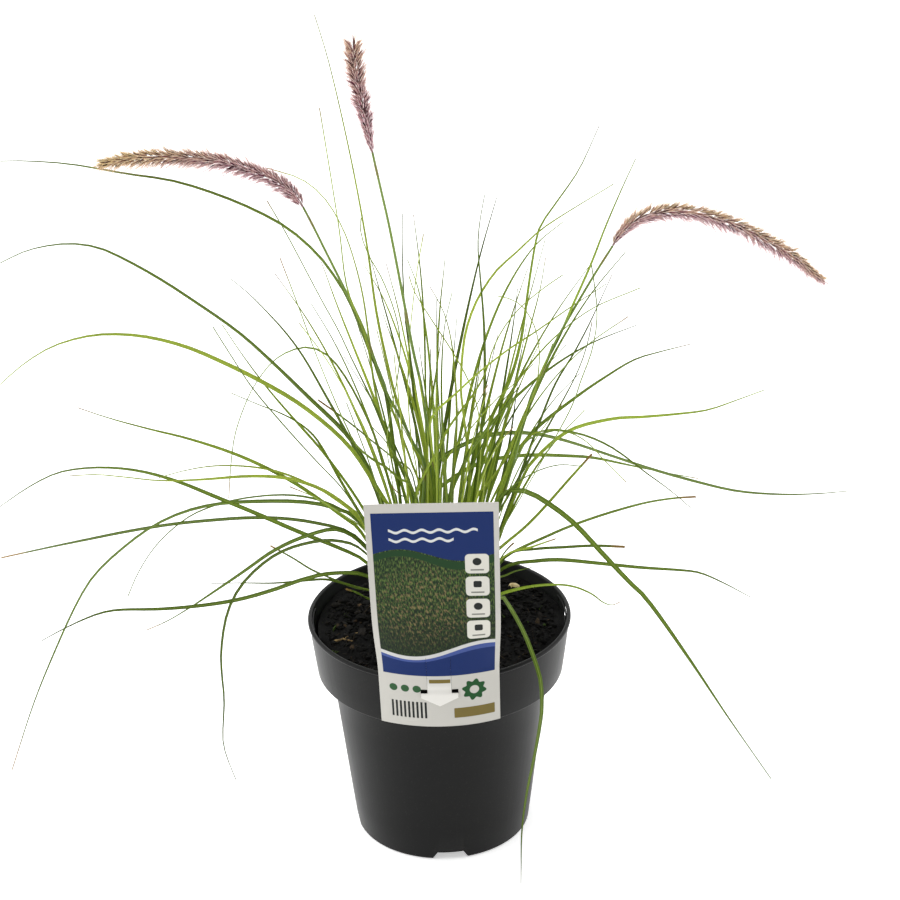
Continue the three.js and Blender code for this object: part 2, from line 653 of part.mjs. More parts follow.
// Then the leaves that were read in the picture.
for (const traced of traced_leaves) {
  const root_turn = radians(traced.root_turn ?? traced.heading);
  const low = traced.via[traced.via.length - 1][1] > low_pixel;
  const ring = low ? low_ring : high_ring;
  const foot_roll = mix(38, 72, draw());
  const tip_roll = mix(12, 48, draw());
  const sweep = mix(-11, 11, draw());
  let planted = false;
  for (let tries = 0; tries < plant_tries && !planted; tries += 1) {
    const root = nearest_root(root_turn, ring, crowd_first + crowd_more * tries);
    const leaf = { ...traced, root, sweep,
      heading: traced.heading + (tries % 2 ? plant_turn : -plant_turn) * Math.ceil(tries / 2),
      ...roll_of(traced.heading, foot_roll, tip_roll) };
    planted = grow(leaf);
  }
}

// Then each shoot is filled up with drawn leaves that lean the way its place on the crown suggests.
for (let round = 0; round < blades_per_tiller; round += 1) {
  for (const root of roots) {
    const spread = root.radius < 12 ? 160 : 46;
    const heading = root.turn * 180 / Math.PI + spread * (draw() - 0.5) * 2;
    const front = Math.max(0, -Math.sin(radians(heading)));
    const arching = draw();
    const size = draw();
    const width = mix(1.6, 2.9, draw());
    const foot_roll = mix(30, 75, draw());
    const tip_roll = mix(5, 50, draw());
    const sweep = mix(-30, 30, draw());
    const droop = mix(1.1, 2.1, draw());
    const calm = mix(1, 0.42, smoothstep(front, 0.35, 0.8));
    const outer = root.radius / 28;
    const leaf = { root, heading, width, droop, sweep,
      length: mix(130, 238, size) * mix(1, 1.4, outer * arching) * mix(1, 0.85, smoothstep(front, 0.3, 0.8)),
      start_lean: mix(1, 15, outer) * calm,
      end_lean: mix(14, 105, arching * arching) * mix(0.65, 1, outer) * calm,
      ...roll_of(heading, foot_roll, tip_roll) };
    if (!root.culm && root.leaves.length <= round) {
      grow(leaf);
    }
  }
}

// A block with its outline in X and Z, that runs from there towards -Y.
function upright_block(outline, depth) {
  const shape = new THREE.Shape(outline.map(([x, z]) => new THREE.Vector2(x, z)));
  const block = new THREE.ExtrudeGeometry(shape, { depth, bevelEnabled: false });
  block.rotateX(Math.PI / 2);
  return block;
}

// Pot: one turned wall, open at the top, then its slots and drain notches.
function pot_solid() {
  const outline = new THREE.Path();
  outline.moveTo(0, 0);
  outline.lineTo(foot_radius - 1.2, 0);
  outline.lineTo(foot_radius, 1.2);
  outline.lineTo(shoulder_radius, collar_foot_z - 3);
  outline.lineTo(collar_foot_radius - 1, collar_foot_z);
  outline.lineTo(collar_foot_radius, collar_foot_z + 1);
  outline.lineTo(rim_radius - 1, pot_height - rim_bead);
  outline.lineTo(rim_radius, pot_height - rim_bead / 2);
  outline.lineTo(rim_radius - 1, pot_height);
  outline.lineTo(rim_radius - rim_bead, pot_height);
  outline.lineTo(rim_radius - rim_bead - 0.4, pot_height - rim_bead);
  outline.lineTo(collar_foot_radius - wall, collar_foot_z + wall + 1);
  outline.lineTo(shoulder_radius - wall, collar_foot_z - 2);
  outline.lineTo(foot_radius - wall + 0.1, wall);
  outline.lineTo(0, wall);
  outline.lineTo(0, 0);
  const turned = new THREE.LatheGeometry(outline.getPoints(1), pot_sides);
  turned.rotateX(Math.PI / 2);
  let body = solid(turned);
  for (let k = 0; k < 4; k += 1) {
    const side_view = [
      [rim_radius - 3 * rim_bead, slot_low],
      [rim_radius + rim_bead, slot_low],
      [rim_radius + rim_bead, slot_high - 2 * slot_drop],
      [rim_radius - rim_bead, slot_high],
      [rim_radius - 3 * rim_bead, slot_high],
    ];
    const cutter = upright_block(side_view, slot_width);
    cutter.translate(0, slot_width / 2, 0);
    cutter.rotateZ(radians(pot_turn + 90 * k));
    body = body.subtract(solid(cutter));
  }
  for (let k = 0; k < notch_count; k += 1) {
    const front_view = [
      [-notch_foot_width / 2 - 1.2, -2],
      [notch_foot_width / 2 + 1.2, -2],
      [notch_top_width / 2, notch_height],
      [-notch_top_width / 2, notch_height],
    ];
    const cutter = upright_block(front_view, notch_depth + 6);
    cutter.translate(0, -(foot_radius - notch_depth), 0);
    cutter.rotateZ(radians(pot_turn + 90 * k));
    body = body.subtract(solid(cutter));
  }
  return body;
}

// Potting mix: fills the pot a hair clear of its wall, with a lumpy mounded top and plain holes.
function mix_top(radius, turn) {
  const mound = mix_wall_z + mix_mound * (1 - (radius / mix_reach) ** 2);
  const lumps = Math.sin(0.31 * radius + 3 * turn) * Math.cos(5 * turn - 0.17 * radius)
    + 0.7 * Math.sin(9 * turn + 0.23 * radius) * Math.sin(0.12 * radius);
  return mound + mix_lump * lumps * smoothstep(radius, 4, 20);
}

function mix_solid() {
  const inner = (z) => mix(collar_foot_radius - wall, rim_radius - rim_bead - 0.4,
    (z - collar_foot_z - wall - 1) / (pot_height - rim_bead - collar_foot_z - wall - 1)) - gap - 0.25;
  const wall_steps = [
    [foot_radius - notch_depth - 3, wall + gap],
    [foot_radius - wall - 2.2, wall + 17],
    [shoulder_radius - wall - gap - 0.25, collar_foot_z - 1.5],
    [collar_foot_radius - wall - gap - 0.6, collar_foot_z + wall + 2.2],
  ];
  const positions = [0, 0, wall + gap];
  const index = [];
  const ring_at = [];
  const add_ring = (radius_of, z_of) => {
    ring_at.push(positions.length / 3);
    for (let j = 0; j < mix_spokes; j += 1) {
      const turn = 2 * Math.PI * j / mix_spokes;
      const radius = radius_of(turn);
      positions.push(radius * Math.cos(turn), radius * Math.sin(turn), z_of(radius, turn));
    }
  };
  for (const [radius, z] of wall_steps) {
    add_ring(() => radius, () => z);
  }
  // The root ball has shrunk a little from the wall on the left.
  const reach = (turn) => inner(mix_wall_z) - mix_shrink * Math.max(0, -Math.cos(turn - 0.4));
  for (let i = mix_rings; i > 0; i -= 1) {
    const share = i / mix_rings;
    add_ring((turn) => share * reach(turn), mix_top);
  }
  const top = positions.length / 3;
  positions.push(0, 0, mix_top(0, 0));
  for (let j = 0; j < mix_spokes; j += 1) {
    const next = (j + 1) % mix_spokes;
    index.push(0, ring_at[0] + next, ring_at[0] + j);
    for (let i = 0; i + 1 < ring_at.length; i += 1) {
      const a = ring_at[i] + j;
      const b = ring_at[i] + next;
      const c = ring_at[i + 1] + next;
      const d = ring_at[i + 1] + j;
      index.push(a, b, c, a, c, d);
    }
    index.push(ring_at[ring_at.length - 1] + j, ring_at[ring_at.length - 1] + next, top);
  }
  const geometry = new THREE.BufferGeometry();
  geometry.setAttribute('position', new THREE.Float32BufferAttribute(positions, 3));
  geometry.setIndex(index);
  const holes = roots.filter((root) => root.culm || root.leaves.length).map((root) => solid(upright_prism(
    root.x, root.y, root_foot_z - gap, pot_height + 10, stub_radius + gap, stub_radius + gap)));
  return solid(geometry).subtract(fused(holes)).subtract(solid(pebble_geometry(gap)))
    .subtract(twig_solid(gap));
}

// What lies on the mix: one pale pebble and one dry forked twig, each pressed in a little.
function pebble_geometry(grow_by = 0) {
  const pebble = new THREE.IcosahedronGeometry(1, 1);
  pebble.scale(pebble_size[0] / 2 + grow_by, pebble_size[1] / 2 + grow_by, pebble_size[2] / 2 + grow_by);
  pebble.rotateZ(radians(-24));
  const { x, y } = place_at_level(pebble_pixel, mix_wall_z + 4);
  pebble.translate(x, y, mix_top(Math.hypot(x, y), Math.atan2(y, x)) + 1.2);
  return pebble;
}

function twig_solid(grow_by = 0) {
  const lie = (pixel) => {
    const place = place_at_level(pixel, mix_wall_z + 3);
    place.z = mix_top(Math.hypot(place.x, place.y), Math.atan2(place.y, place.x)) + 0.5;
    return place;
  };
  const rod = (pixels) => {
    const path = smooth_path(pixels.map(lie));
    const [first, second] = path;
    const [before, last] = path.slice(-2);
    const at_first = first.clone().sub(second).setLength(grow_by * 2);
    const at_last = last.clone().sub(before).setLength(grow_by * 2);
    first.add(at_first);
    last.add(at_last);
    return solid(loft(rod_rings(path, 4, (t) => mix(twig_radius, 0.6 * twig_radius, t) + grow_by, 5)));
  };
  return rod(twig_pixels).add(rod(twig_fork_pixels));
}

// Plant tag: a sheet that hugs the collar and flattens above it, with its locking tongue.
function tag_place(across, z, proud) {
  const share = (z - tag_foot_z) / (tag_top_z - tag_foot_z);
  const slope = (rim_radius - collar_foot_radius) / (pot_height - collar_foot_z);
  const front = -(collar_foot_radius + tag_back_gap + slope * (z - collar_foot_z)) - proud;
  const curve = (1 - smoothstep(z, pot_height, tag_flat_from)) / (rim_radius + gap) + 1e-5;
  const shift = mix(tag_foot_shift, tag_top_shift, share);
  return new THREE.Vector3(shift + Math.sin(across * curve) / curve,
    front + (1 - Math.cos(across * curve)) / curve, z);
}

// Points round the sheet at each height: along its back, then along its face.
function sheet_rings(rows, width_at) {
  return rows.map((z) => {
    const width = width_at(z);
    const across = Array.from({ length: tag_columns + 1 }, (_, i) => width * (i / tag_columns - 0.5));
    const back = across.map((x) => tag_place(x, z, 0));
    const face = across.reverse().map((x) => tag_place(x, z, tag_thick));
    return [...back, ...face];
  });
}

// A closed skin over the sheet's rings, with its foot and top closed by quads across its thickness.
function sheet_geometry(rings) {
  const around = rings[0].length;
  const positions = rings.flat().flatMap((p) => [p.x, p.y, p.z]);
  const index = [];
  for (let i = 0; i + 1 < rings.length; i += 1) {
    for (let j = 0; j < around; j += 1) {
      const a = i * around + j;
      const b = i * around + (j + 1) % around;
      index.push(a, b + around, b, a, a + around, b + around);
    }
  }
  const last = (rings.length - 1) * around;
  for (let j = 0; j + 1 < around / 2; j += 1) {
    const k = around - 1 - j;
    index.push(j, j + 1, k, j + 1, k - 1, k);
    index.push(last + j, last + k, last + j + 1, last + j + 1, last + k, last + k - 1);
  }
  const geometry = new THREE.BufferGeometry();
  geometry.setAttribute('position', new THREE.Float32BufferAttribute(positions, 3));
  geometry.setIndex(index);
  return geometry;
}

// The tongue's outline, seen from the front: a stem that ends in a barbed arrow.
function tongue_outline(grow_by, raise, top) {
  const stem = tongue_width / 2 + grow_by;
  const barb = tongue_barb / 2 + grow_by;
  const right = [[barb, tongue_shoulder_z], [barb, tongue_barb_z], [stem, tongue_barb_z]]
    .map(([x, z]) => [x, z + raise]);
  const left = right.map(([x, z]) => [-x, z]).reverse();
  return [[0, tongue_tip_z + raise], ...right, [stem, top], [-stem, top], ...left];
}

// A block that reaches through the tag's front along Y, with an outline seen from the front.
function stamp_solid(outline) {
  const stamp = upright_block(outline, 30);
  stamp.translate(0, -75, 0);
  return solid(stamp);
}

// The tag is one sheet. The tongue is cut out of it and hinged at its top. Its arrow has slipped
// down a little out of its own cut and lies on the sheet's face.
function tag_solid() {
  const rows = [tag_foot_z, 147, pot_height, 178, 192, 208, 224, tag_flat_from, tag_top_z];
  const width_at = (z) => mix(tag_foot_width, tag_top_width, (z - tag_foot_z) / (tag_top_z - tag_foot_z));
  const sheet = solid(sheet_geometry(sheet_rings(rows, width_at)));
  const cut = stamp_solid(tongue_outline(tongue_side_gap, tongue_slip, tongue_hinge_z));
  const middle = (z, proud) => [tag_place(0, z, tag_thick / 2 + proud).y, z];
  const route = [middle(tongue_hinge_z + 0.6, 0), middle(tongue_barb_z + tongue_slip, 0),
    middle(tongue_barb_z - 0.8, tongue_proud + 0.4), middle(tongue_shoulder_z - 1.6, tongue_proud + 0.4),
    middle(tongue_tip_z - 0.2, tongue_proud + 0.4)];
  const front = [];
  const back = [];
  route.forEach(([y, z], i) => {
    const [ya, za] = route[Math.max(0, i - 1)];
    const [yb, zb] = route[Math.min(route.length - 1, i + 1)];
    const length = Math.hypot(yb - ya, zb - za);
    const ny = (zb - za) / length * tag_thick / 2;
    const nz = -(yb - ya) / length * tag_thick / 2;
    front.push(new THREE.Vector2(y + ny, z + nz));
    back.unshift(new THREE.Vector2(y - ny, z - nz));
  });
  const strip = new THREE.ExtrudeGeometry(new THREE.Shape([...front, ...back]),
    { depth: tongue_barb, bevelEnabled: false });
  // The side view lies in X and Y, so it is stood up into Y and Z with its depth along X.
  const stand_up = new THREE.Matrix4();
  stand_up.set(0, 0, 1, -tongue_barb / 2, 1, 0, 0, 0, 0, 1, 0, 0, 0, 0, 0, 1);
  strip.applyMatrix4(stand_up);
  const tongue = solid(strip).intersect(stamp_solid(tongue_outline(0, 0, tongue_hinge_z + 3)));
  return sheet.subtract(cut).add(tongue);
}

// Leafy shoots: a short sheath that stands in its hole, and the blades that fan out of it.
function shoot_solid(root) {
  const stub = solid(upright_prism(root.x, root.y, root_foot_z, root.culm ? culm_stub_top_z : stub_top_z,
    stub_radius, root.leaves.length > 2 ? 1.9 : 1.5));
  return fused([stub, ...root.leaves.map((leaf) => solid(loft(leaf_rings(leaf))))]);
}

// A round rod along a path, with its own radius at each end.
function rod_rings(path, count, radius_at, sides = 6) {
  const places = divide(path, count);
  const side = new THREE.Vector3();
  let reference = new THREE.Vector3(1, 0.2, 0);
  return places.map((place, i) => {
    const ahead = places[Math.min(count, i + 1)].clone().sub(places[Math.max(0, i - 1)]).normalize();
    side.copy(reference).addScaledVector(ahead, -reference.dot(ahead)).normalize();
    reference = side.clone();
    const other = ahead.clone().cross(side);
    const radius = radius_at(i / count);
    return Array.from({ length: sides }, (_, j) => {
      const angle = 2 * Math.PI * j / sides;
      return place.clone().addScaledVector(side, radius * Math.cos(angle))
        .addScaledVector(other, radius * Math.sin(angle));
    });
  });
}

function culm_solid({ culm, stem_path }) {
  const count = Math.round(path_length(stem_path) / 30);
  const trimmed = stem_path.map((p) => p.clone());
  const tip = trimmed[trimmed.length - 1];
  const before = trimmed[trimmed.length - 2];
  tip.addScaledVector(tip.clone().sub(before).normalize(), -0.4);
  const thickness = (t) => mix(culm_radius + 0.15, culm_radius - 0.45, t);
  const stem = solid(loft(rod_rings(trimmed, count, thickness)));
  return stem.add(shoot_solid(culm.root));
}

function head_solid({ head_path }, seed) {
  const pick = seeded(seed);
  const path = head_path.map((p) => p.clone());
  path[0].addScaledVector(path[1].clone().sub(path[0]).normalize(), 0.5);
  const count = 14;
  const thickness = (t) => head_core * Math.min(1, 0.32 + 5 * t)
    * Math.sqrt(clamp((1.04 - t) / 0.22, 0.03, 1));
  const core = solid(loft(rod_rings(path, count, thickness, 7)));
  const steps = 96;
  const places = divide(path, steps);
  const spikelets = [];
  const last_root = 1 - 0.85 * spikelet_length / path_length(path);
  for (let k = 0; k < spikelet_count; k += 1) {
    const t = mix(0.04, last_root, (k + 0.5) / spikelet_count);
    const near_tip = smoothstep(t, 0.84, 1);
    const i = Math.min(steps - 1, Math.floor(t * steps));
    const place = places[i].clone().lerp(places[i + 1], t * steps - i);
    const ahead = places[i + 1].clone().sub(places[i]).normalize();
    const side = new THREE.Vector3(0, 1, 0.001).addScaledVector(ahead, -ahead.y).normalize();
    const other = ahead.clone().cross(side);
    const angle = k * 2.39996 + 0.3 * pick();
    const out = side.clone().multiplyScalar(Math.cos(angle)).addScaledVector(other, Math.sin(angle));
    const lean = mix(0.5, 0.62, pick()) * mix(1, 0.55, near_tip);
    const way = out.clone().multiplyScalar(lean).addScaledVector(ahead, 0.82).normalize();
    const flank = ahead.clone().cross(out).normalize();
    const root = place.clone().addScaledVector(out, Math.max(0.1, thickness(t) - 0.9));
    const slimmer = mix(0.75, 1, smoothstep(t, 0, 0.2)) * mix(1, 0.85, near_tip);
    const size = spikelet_length * mix(0.86, 1.1, pick()) * slimmer;
    const half = spikelet_width / 2;
    const back = out.clone().cross(flank).cross(flank).multiplyScalar(-1);
    const ring = [
      root.clone().addScaledVector(flank, half),
      root.clone().addScaledVector(back, -half * 0.9),
      root.clone().addScaledVector(flank, -half),
    ];
    spikelets.push(spike(ring, root.clone().addScaledVector(way, size)));
  }
  return { core, spikelets };
}

function named(name, geometry, color, roughness = 0.7) {
  const material = new THREE.MeshStandardMaterial({ color, roughness, metalness: 0 });
  const mesh = new THREE.Mesh(geometry, material);
  mesh.name = name;
  group.add(mesh);
}

named('pot', geometry_of(pot_solid()), 0x2b2c2e, 0.55);
named('potting_mix', geometry_of(mix_solid()), 0x1c1712, 1);
named('pebble', geometry_of(solid(pebble_geometry())), 0xc9b98f, 0.8);
named('dry_twig', geometry_of(twig_solid()), 0x8a7550, 0.9);
named('plant_tag', geometry_of(tag_solid()), 0xe9e8e2, 0.4);
culm_paths.forEach((entry, i) => {
  named(`culm_${i + 1}`, geometry_of(culm_solid(entry)), 0x6c8a3a);
  const { core, spikelets } = head_solid(entry, 311 + i);
  named(`flower_head_${i + 1}`, geometry_of(fused([core, ...spikelets.map(solid)])), 0x8c5a62, 0.9);
});
let tiller = 0;
for (const root of roots) {
  if (!root.culm && root.leaves.length) {
    tiller += 1;
    named(`tiller_${String(tiller).padStart(2, '0')}`, geometry_of(shoot_solid(root)), 0x5d7f35);
  }
}

export default group;
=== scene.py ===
# %% [markdown]
# # A potted foxtail grass
#
# The real plant is a tussock of arching blades with three bottle-brush flower heads. It grows in a
# dark nursery pot, and a printed plastic tag stands at the pot's collar. This lesson dresses a plain
# solid model of it: every solid keeps its place, and a finer piece of the same form stands in for it.
# Sizes of the plant and its pot are in millimetres, and become Blender's metres where a mesh is made.
# The room round it, its floor and its lamps, is in metres.

# %% Load the solid model
from math import atan2, ceil, cos, degrees, hypot, pi, radians, sin, tau

import bmesh
import bpy
import numpy as np
from mathutils import Matrix, Vector


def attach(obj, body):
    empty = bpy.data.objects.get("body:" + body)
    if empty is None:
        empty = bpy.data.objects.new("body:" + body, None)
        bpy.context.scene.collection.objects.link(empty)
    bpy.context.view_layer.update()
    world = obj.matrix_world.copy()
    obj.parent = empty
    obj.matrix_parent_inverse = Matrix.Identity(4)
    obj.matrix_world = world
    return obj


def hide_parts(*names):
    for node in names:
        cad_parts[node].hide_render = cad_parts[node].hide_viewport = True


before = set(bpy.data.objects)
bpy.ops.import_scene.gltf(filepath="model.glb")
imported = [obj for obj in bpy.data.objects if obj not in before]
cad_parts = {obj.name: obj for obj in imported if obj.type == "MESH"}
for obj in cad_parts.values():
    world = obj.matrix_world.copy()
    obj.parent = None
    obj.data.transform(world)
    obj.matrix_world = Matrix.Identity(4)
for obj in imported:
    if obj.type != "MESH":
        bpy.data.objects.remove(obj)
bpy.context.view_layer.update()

mm = 0.001

# %% [markdown]
# ## Camera
#
# The camera is a long lens, a good metre and a half in front of the pot and one metre up, looking
# down a little. The leaves further on are read through this same camera, so its numbers are kept as
# named values. Whatever is added here and later is added with nothing else selected, because an
# operator acts on all that is selected.

# %% Camera
def placed(add, **settings):
    """Add something new with nothing else selected, and hand it over."""
    bpy.ops.object.select_all(action="DESELECT")
    add(**settings)
    return bpy.context.object


picture_size = 900
picture_centre = picture_size / 2
eye = np.array([9.8, -1588, 1043])
eye_down = radians(25.18)
eye_roll = radians(-1.04)
eye_focal = 2526

camera = placed(bpy.ops.object.camera_add)
camera.name = "camera"
camera.matrix_world = (Matrix.Translation(Vector(eye * mm)) @ Matrix.Rotation(pi / 2 - eye_down, 4, "X")
                       @ Matrix.Rotation(eye_roll, 4, "Z"))
camera.data.lens = camera.data.sensor_width * eye_focal / picture_size
camera.data.clip_start = 0.01
bpy.context.scene.camera = camera
print("lens in millimetres:", round(camera.data.lens, 2))

# %% [markdown]
# ## Floor and light
#
# The pot stands in a bright white room, on a floor that is wide enough to fill the picture from any
# side. One wide lamp above gives the leaves a lit side, and a lamp at each side shines along the pot's
# flanks. The plain view transform keeps white as white.

# %% Floor and lamps
floor_size = 44.0
floor_place = (0, 2.0, -0.0004)
lamp_aim = Vector((0, 0, 0.2))
scene = bpy.context.scene
scene.view_settings.view_transform = "Standard"

floor = placed(bpy.ops.mesh.primitive_plane_add, size=floor_size, location=floor_place)
floor.name = "floor"

lamps = {
    "lamp_above": dict(at=(-0.6, -0.5, 2.4), size=1.6, power=16),
    "lamp_left": dict(at=(-2.2, 0.4, 1.0), size=1.5, power=16),
    "lamp_right": dict(at=(2.2, 0.4, 1.0), size=1.5, power=16),
}
for name, lamp in lamps.items():
    toward = (lamp_aim - Vector(lamp["at"])).to_track_quat("-Z", "Y")
    light = placed(bpy.ops.object.light_add, type="AREA", location=lamp["at"], rotation=toward.to_euler())
    light.name = name
    light.data.size = lamp["size"]
    light.data.energy = lamp["power"]
print("lamps:", len(lamps))

# %% [markdown]
# ## Writing shader sums as Python
#
# A finish is a small net of nodes. To keep the nets readable, a Wire holds one output and lets sums
# be written on it, and a Finish holds one material with a single method that adds any other node.

# %% Tints and wires
def tint(red, green, blue):
    """A colour as it is read off a screen, from 0 to 255, in the straight values that light adds up in."""
    return tuple((v / 12.92 if v <= 0.04045 else ((v + 0.055) / 1.055) ** 2.4)
                 for v in (red / 255, green / 255, blue / 255)) + (1.0,)


class Wire:
    """One output of a node. A sum written on it adds the Math node that works it out."""

    def __init__(self, finish, socket):
        self.finish = finish
        self.socket = socket

    def sum(self, operation, *values):
        return self.finish.node("ShaderNodeMath", {"operation": operation}, dict(enumerate(values)))

    def __add__(self, other):
        return self.sum("ADD", self, other)

    __radd__ = __add__

    def __sub__(self, other):
        return self.sum("SUBTRACT", self, other)

    def __rsub__(self, other):
        return self.sum("SUBTRACT", other, self)

    def __mul__(self, other):
        return self.sum("MULTIPLY", self, other)

    __rmul__ = __mul__

    def __pow__(self, other):
        return self.sum("POWER", self, other)

    def size(self):
        return self.sum("ABSOLUTE", self)

    def wave(self):
        return self.sum("SINE", self)

    def most(self, other):
        return self.sum("MAXIMUM", self, other)

    def rise(self, low, high):
        """0 below low, 1 above high, and a soft step between. It falls where low is above high."""
        return self.finish.node("ShaderNodeMapRange", {"interpolation_type": "SMOOTHSTEP"},
                                {"Value": self, "From Min": low, "From Max": high})


print("mid grey as light adds it up:", round(tint(128, 128, 128)[0], 3))

# %% A finish
class Finish:
    """One material. What is the same all over is set on its shader, and what varies is wired to it."""

    def __init__(self, name, fixed):
        self.material = bpy.data.materials.new(name)
        self.material.use_nodes = True
        self.tree = self.material.node_tree
        self.shader = self.tree.nodes["Principled BSDF"]
        for socket, value in fixed.items():
            self.shader.inputs[socket].default_value = value

    def node(self, kind, settings, inputs, output=0):
        """Add a node, set its settings and a ramp's stops, then its values and links."""
        node = self.tree.nodes.new(kind)
        for setting, value in settings.items():
            if setting == "stops":
                for extra in value[2:]:
                    node.color_ramp.elements.new(extra[0])
                for stop, (place, colour) in zip(node.color_ramp.elements, value):
                    stop.position = place
                    stop.color = colour
            else:
                setattr(node, setting, value)
        for socket, value in inputs.items():
            if isinstance(value, Wire):
                self.tree.links.new(value.socket, node.inputs[socket])
            else:
                node.inputs[socket].default_value = value
        return Wire(self, node.outputs[output])

    def blend(self, share, low, high):
        """The colour low where the share is 0 and high where it is 1."""
        return self.node("ShaderNodeMix", {"data_type": "RGBA"}, {0: share, 6: low, 7: high}, output=2)

    def ramp(self, share, *stops):
        """A colour for each share from 0 to 1."""
        return self.node("ShaderNodeValToRGB", {"stops": stops}, {0: share})

    def value(self, name):
        """A number that the mesh carries under this name."""
        return self.node("ShaderNodeAttribute", {"attribute_name": name}, {}, output="Fac")

    def place(self):
        """Object coordinates, in metres."""
        return self.node("ShaderNodeTexCoord", {}, {}, output="Object")

    def noise(self, scale, detail=2.0, place=None):
        """Cloudy noise from 0 to 1, with this many lumps to the metre or to the unit of place."""
        return self.node("ShaderNodeTexNoise", {}, {"Vector": place or self.place(), "Scale": scale,
                                                    "Detail": detail})

    def point(self, x, y, z=0.0):
        """A place made of three numbers."""
        return self.node("ShaderNodeCombineXYZ", {}, {0: x, 1: y, 2: z})

    def wear(self, socket, wire):
        self.tree.links.new(wire.socket, self.shader.inputs[socket])

    def bump(self, height, distance):
        """Raise the surface by up to this many millimetres, in its shading alone."""
        self.wear("Normal", self.node("ShaderNodeBump", {}, {"Height": height, "Distance": distance * mm}))


print("a finish can be given", ", ".join(name for name in vars(Finish) if not name.startswith("_")))

# %% [markdown]
# ## White floor and sky
#
# The floor is matte white and glows a little of itself, so that it stays white far from the lamps. The
# sky is white all round and much stronger behind the pot than in front of it, which leaves the pot's
# face dark and lets its two sides shine.

# %% White floor
floor_finish = Finish("floor_finish", {"Roughness": 0.9, "Specular IOR Level": 0.1,
                                       "Emission Color": (1, 1, 1, 1), "Emission Strength": 0.5})
floor_cloud = floor_finish.noise(0.7)
floor_finish.wear("Base Color", floor_finish.blend(floor_cloud, tint(250, 250, 250), tint(253, 253, 253)))
floor.data.materials.append(floor_finish.material)
print("the floor is", floor_size, "metres wide")

# %% White sky
sky_way = (-0.4, 0.9, 0.0)
sky_steps = {"From Min": -0.8, "From Max": 0.25, "To Min": 0.12, "To Max": 1.32}
world = bpy.data.worlds.new("white_room")
world.use_nodes = True
scene.world = world
sky = world.node_tree
sky_place = sky.nodes.new("ShaderNodeTexCoord")
sky_ramp = sky.nodes.new("ShaderNodeMapRange")
sky_turn = sky.nodes.new("ShaderNodeVectorMath")
sky_turn.operation = "DOT_PRODUCT"
sky_turn.inputs[1].default_value = sky_way
sky.links.new(sky_place.outputs["Generated"], sky_turn.inputs[0])
sky.links.new(sky_turn.outputs["Value"], sky_ramp.inputs["Value"])
for socket, value in sky_steps.items():
    sky_ramp.inputs[socket].default_value = value
sky.links.new(sky_ramp.outputs["Result"], sky.nodes["Background"].inputs["Strength"])
sky.nodes["Background"].inputs["Color"].default_value = (1, 1, 1, 1)
print("the sky's strength runs from", sky_steps["To Min"], "to", sky_steps["To Max"])

# %% [markdown]
# ## The growth rule
#
# The solid model grows its leaves by a rule: shoots stand in rings round the crown, leaves that show
# in the picture run through the points where they were read, and the rest are drawn at random with a
# fixed seed and bent clear of each other. The finer blades here have to follow the same lines, so the
# same rule runs again. First come the sizes that it needs.

# %% Sizes of the pot, the tag and the tussock
pot_height = 168
rim_radius = 94.2
collar_foot_radius = 88.5
collar_foot_z = 126.6
shoulder_radius = 77.9
foot_radius = 63.4
wall = 2
rim_bead = 3
pot_turn = 4.5
slot_width, slot_low, slot_high, slot_drop = 19, 155.5, 166.9, 2
gap = 0.35

mix_wall_z = 159.5
mix_mound = 4
mix_lump = 1.1
mix_reach = 88
mix_shrink = 3

tag_top_width = 88.2
tag_foot_width = 85.2
tag_foot_z = 127.9
tag_top_z = 312.4
tag_thick = 0.8
tag_top_shift = -3.2
tag_foot_shift = 0.2
tag_flat_from = 235
tag_back_gap = 0.7

crown_y = 4
root_rings = [(0, 1), (9.6, 6), (19.2, 12), (28.6, 18)]
root_foot_z = 141
stub_radius = 2.6
stub_top_z = 186
stem_foot_z = 166
foot_out = 0.6
blades_per_tiller = 4
blade_tip = 0.7
blade_clear = 0.35
culm_radius = 1.35
segment_length = 42
most_segments = 12
stem_rise = 14
culm_rise = 16
culm_ring = 19
low_pixel = 500
low_ring = 28
high_ring = 17
crowd_first = 5
crowd_more = 3
plant_tries = 6
plant_turn = 9

head_core = 2.7
spikelet_length = 8.2
print("pot", 2 * rim_radius, "across and", pot_height, "high; shoots", sum(count for _, count in root_rings))

# %% [markdown]
# ## Leaves read in the picture
#
# Each entry is one leaf, from its tip down to where it sinks into the tussock: the way it leans in
# plan, in degrees from +X, its width, and the pixels that it passes through. A leaf marked cut ends
# behind its neighbours and keeps its width. A root turn of its own says that the leaf grows from
# another side of the crown than it leans to. Each culm is read in the same way, as a stem, a head and
# one leaf.

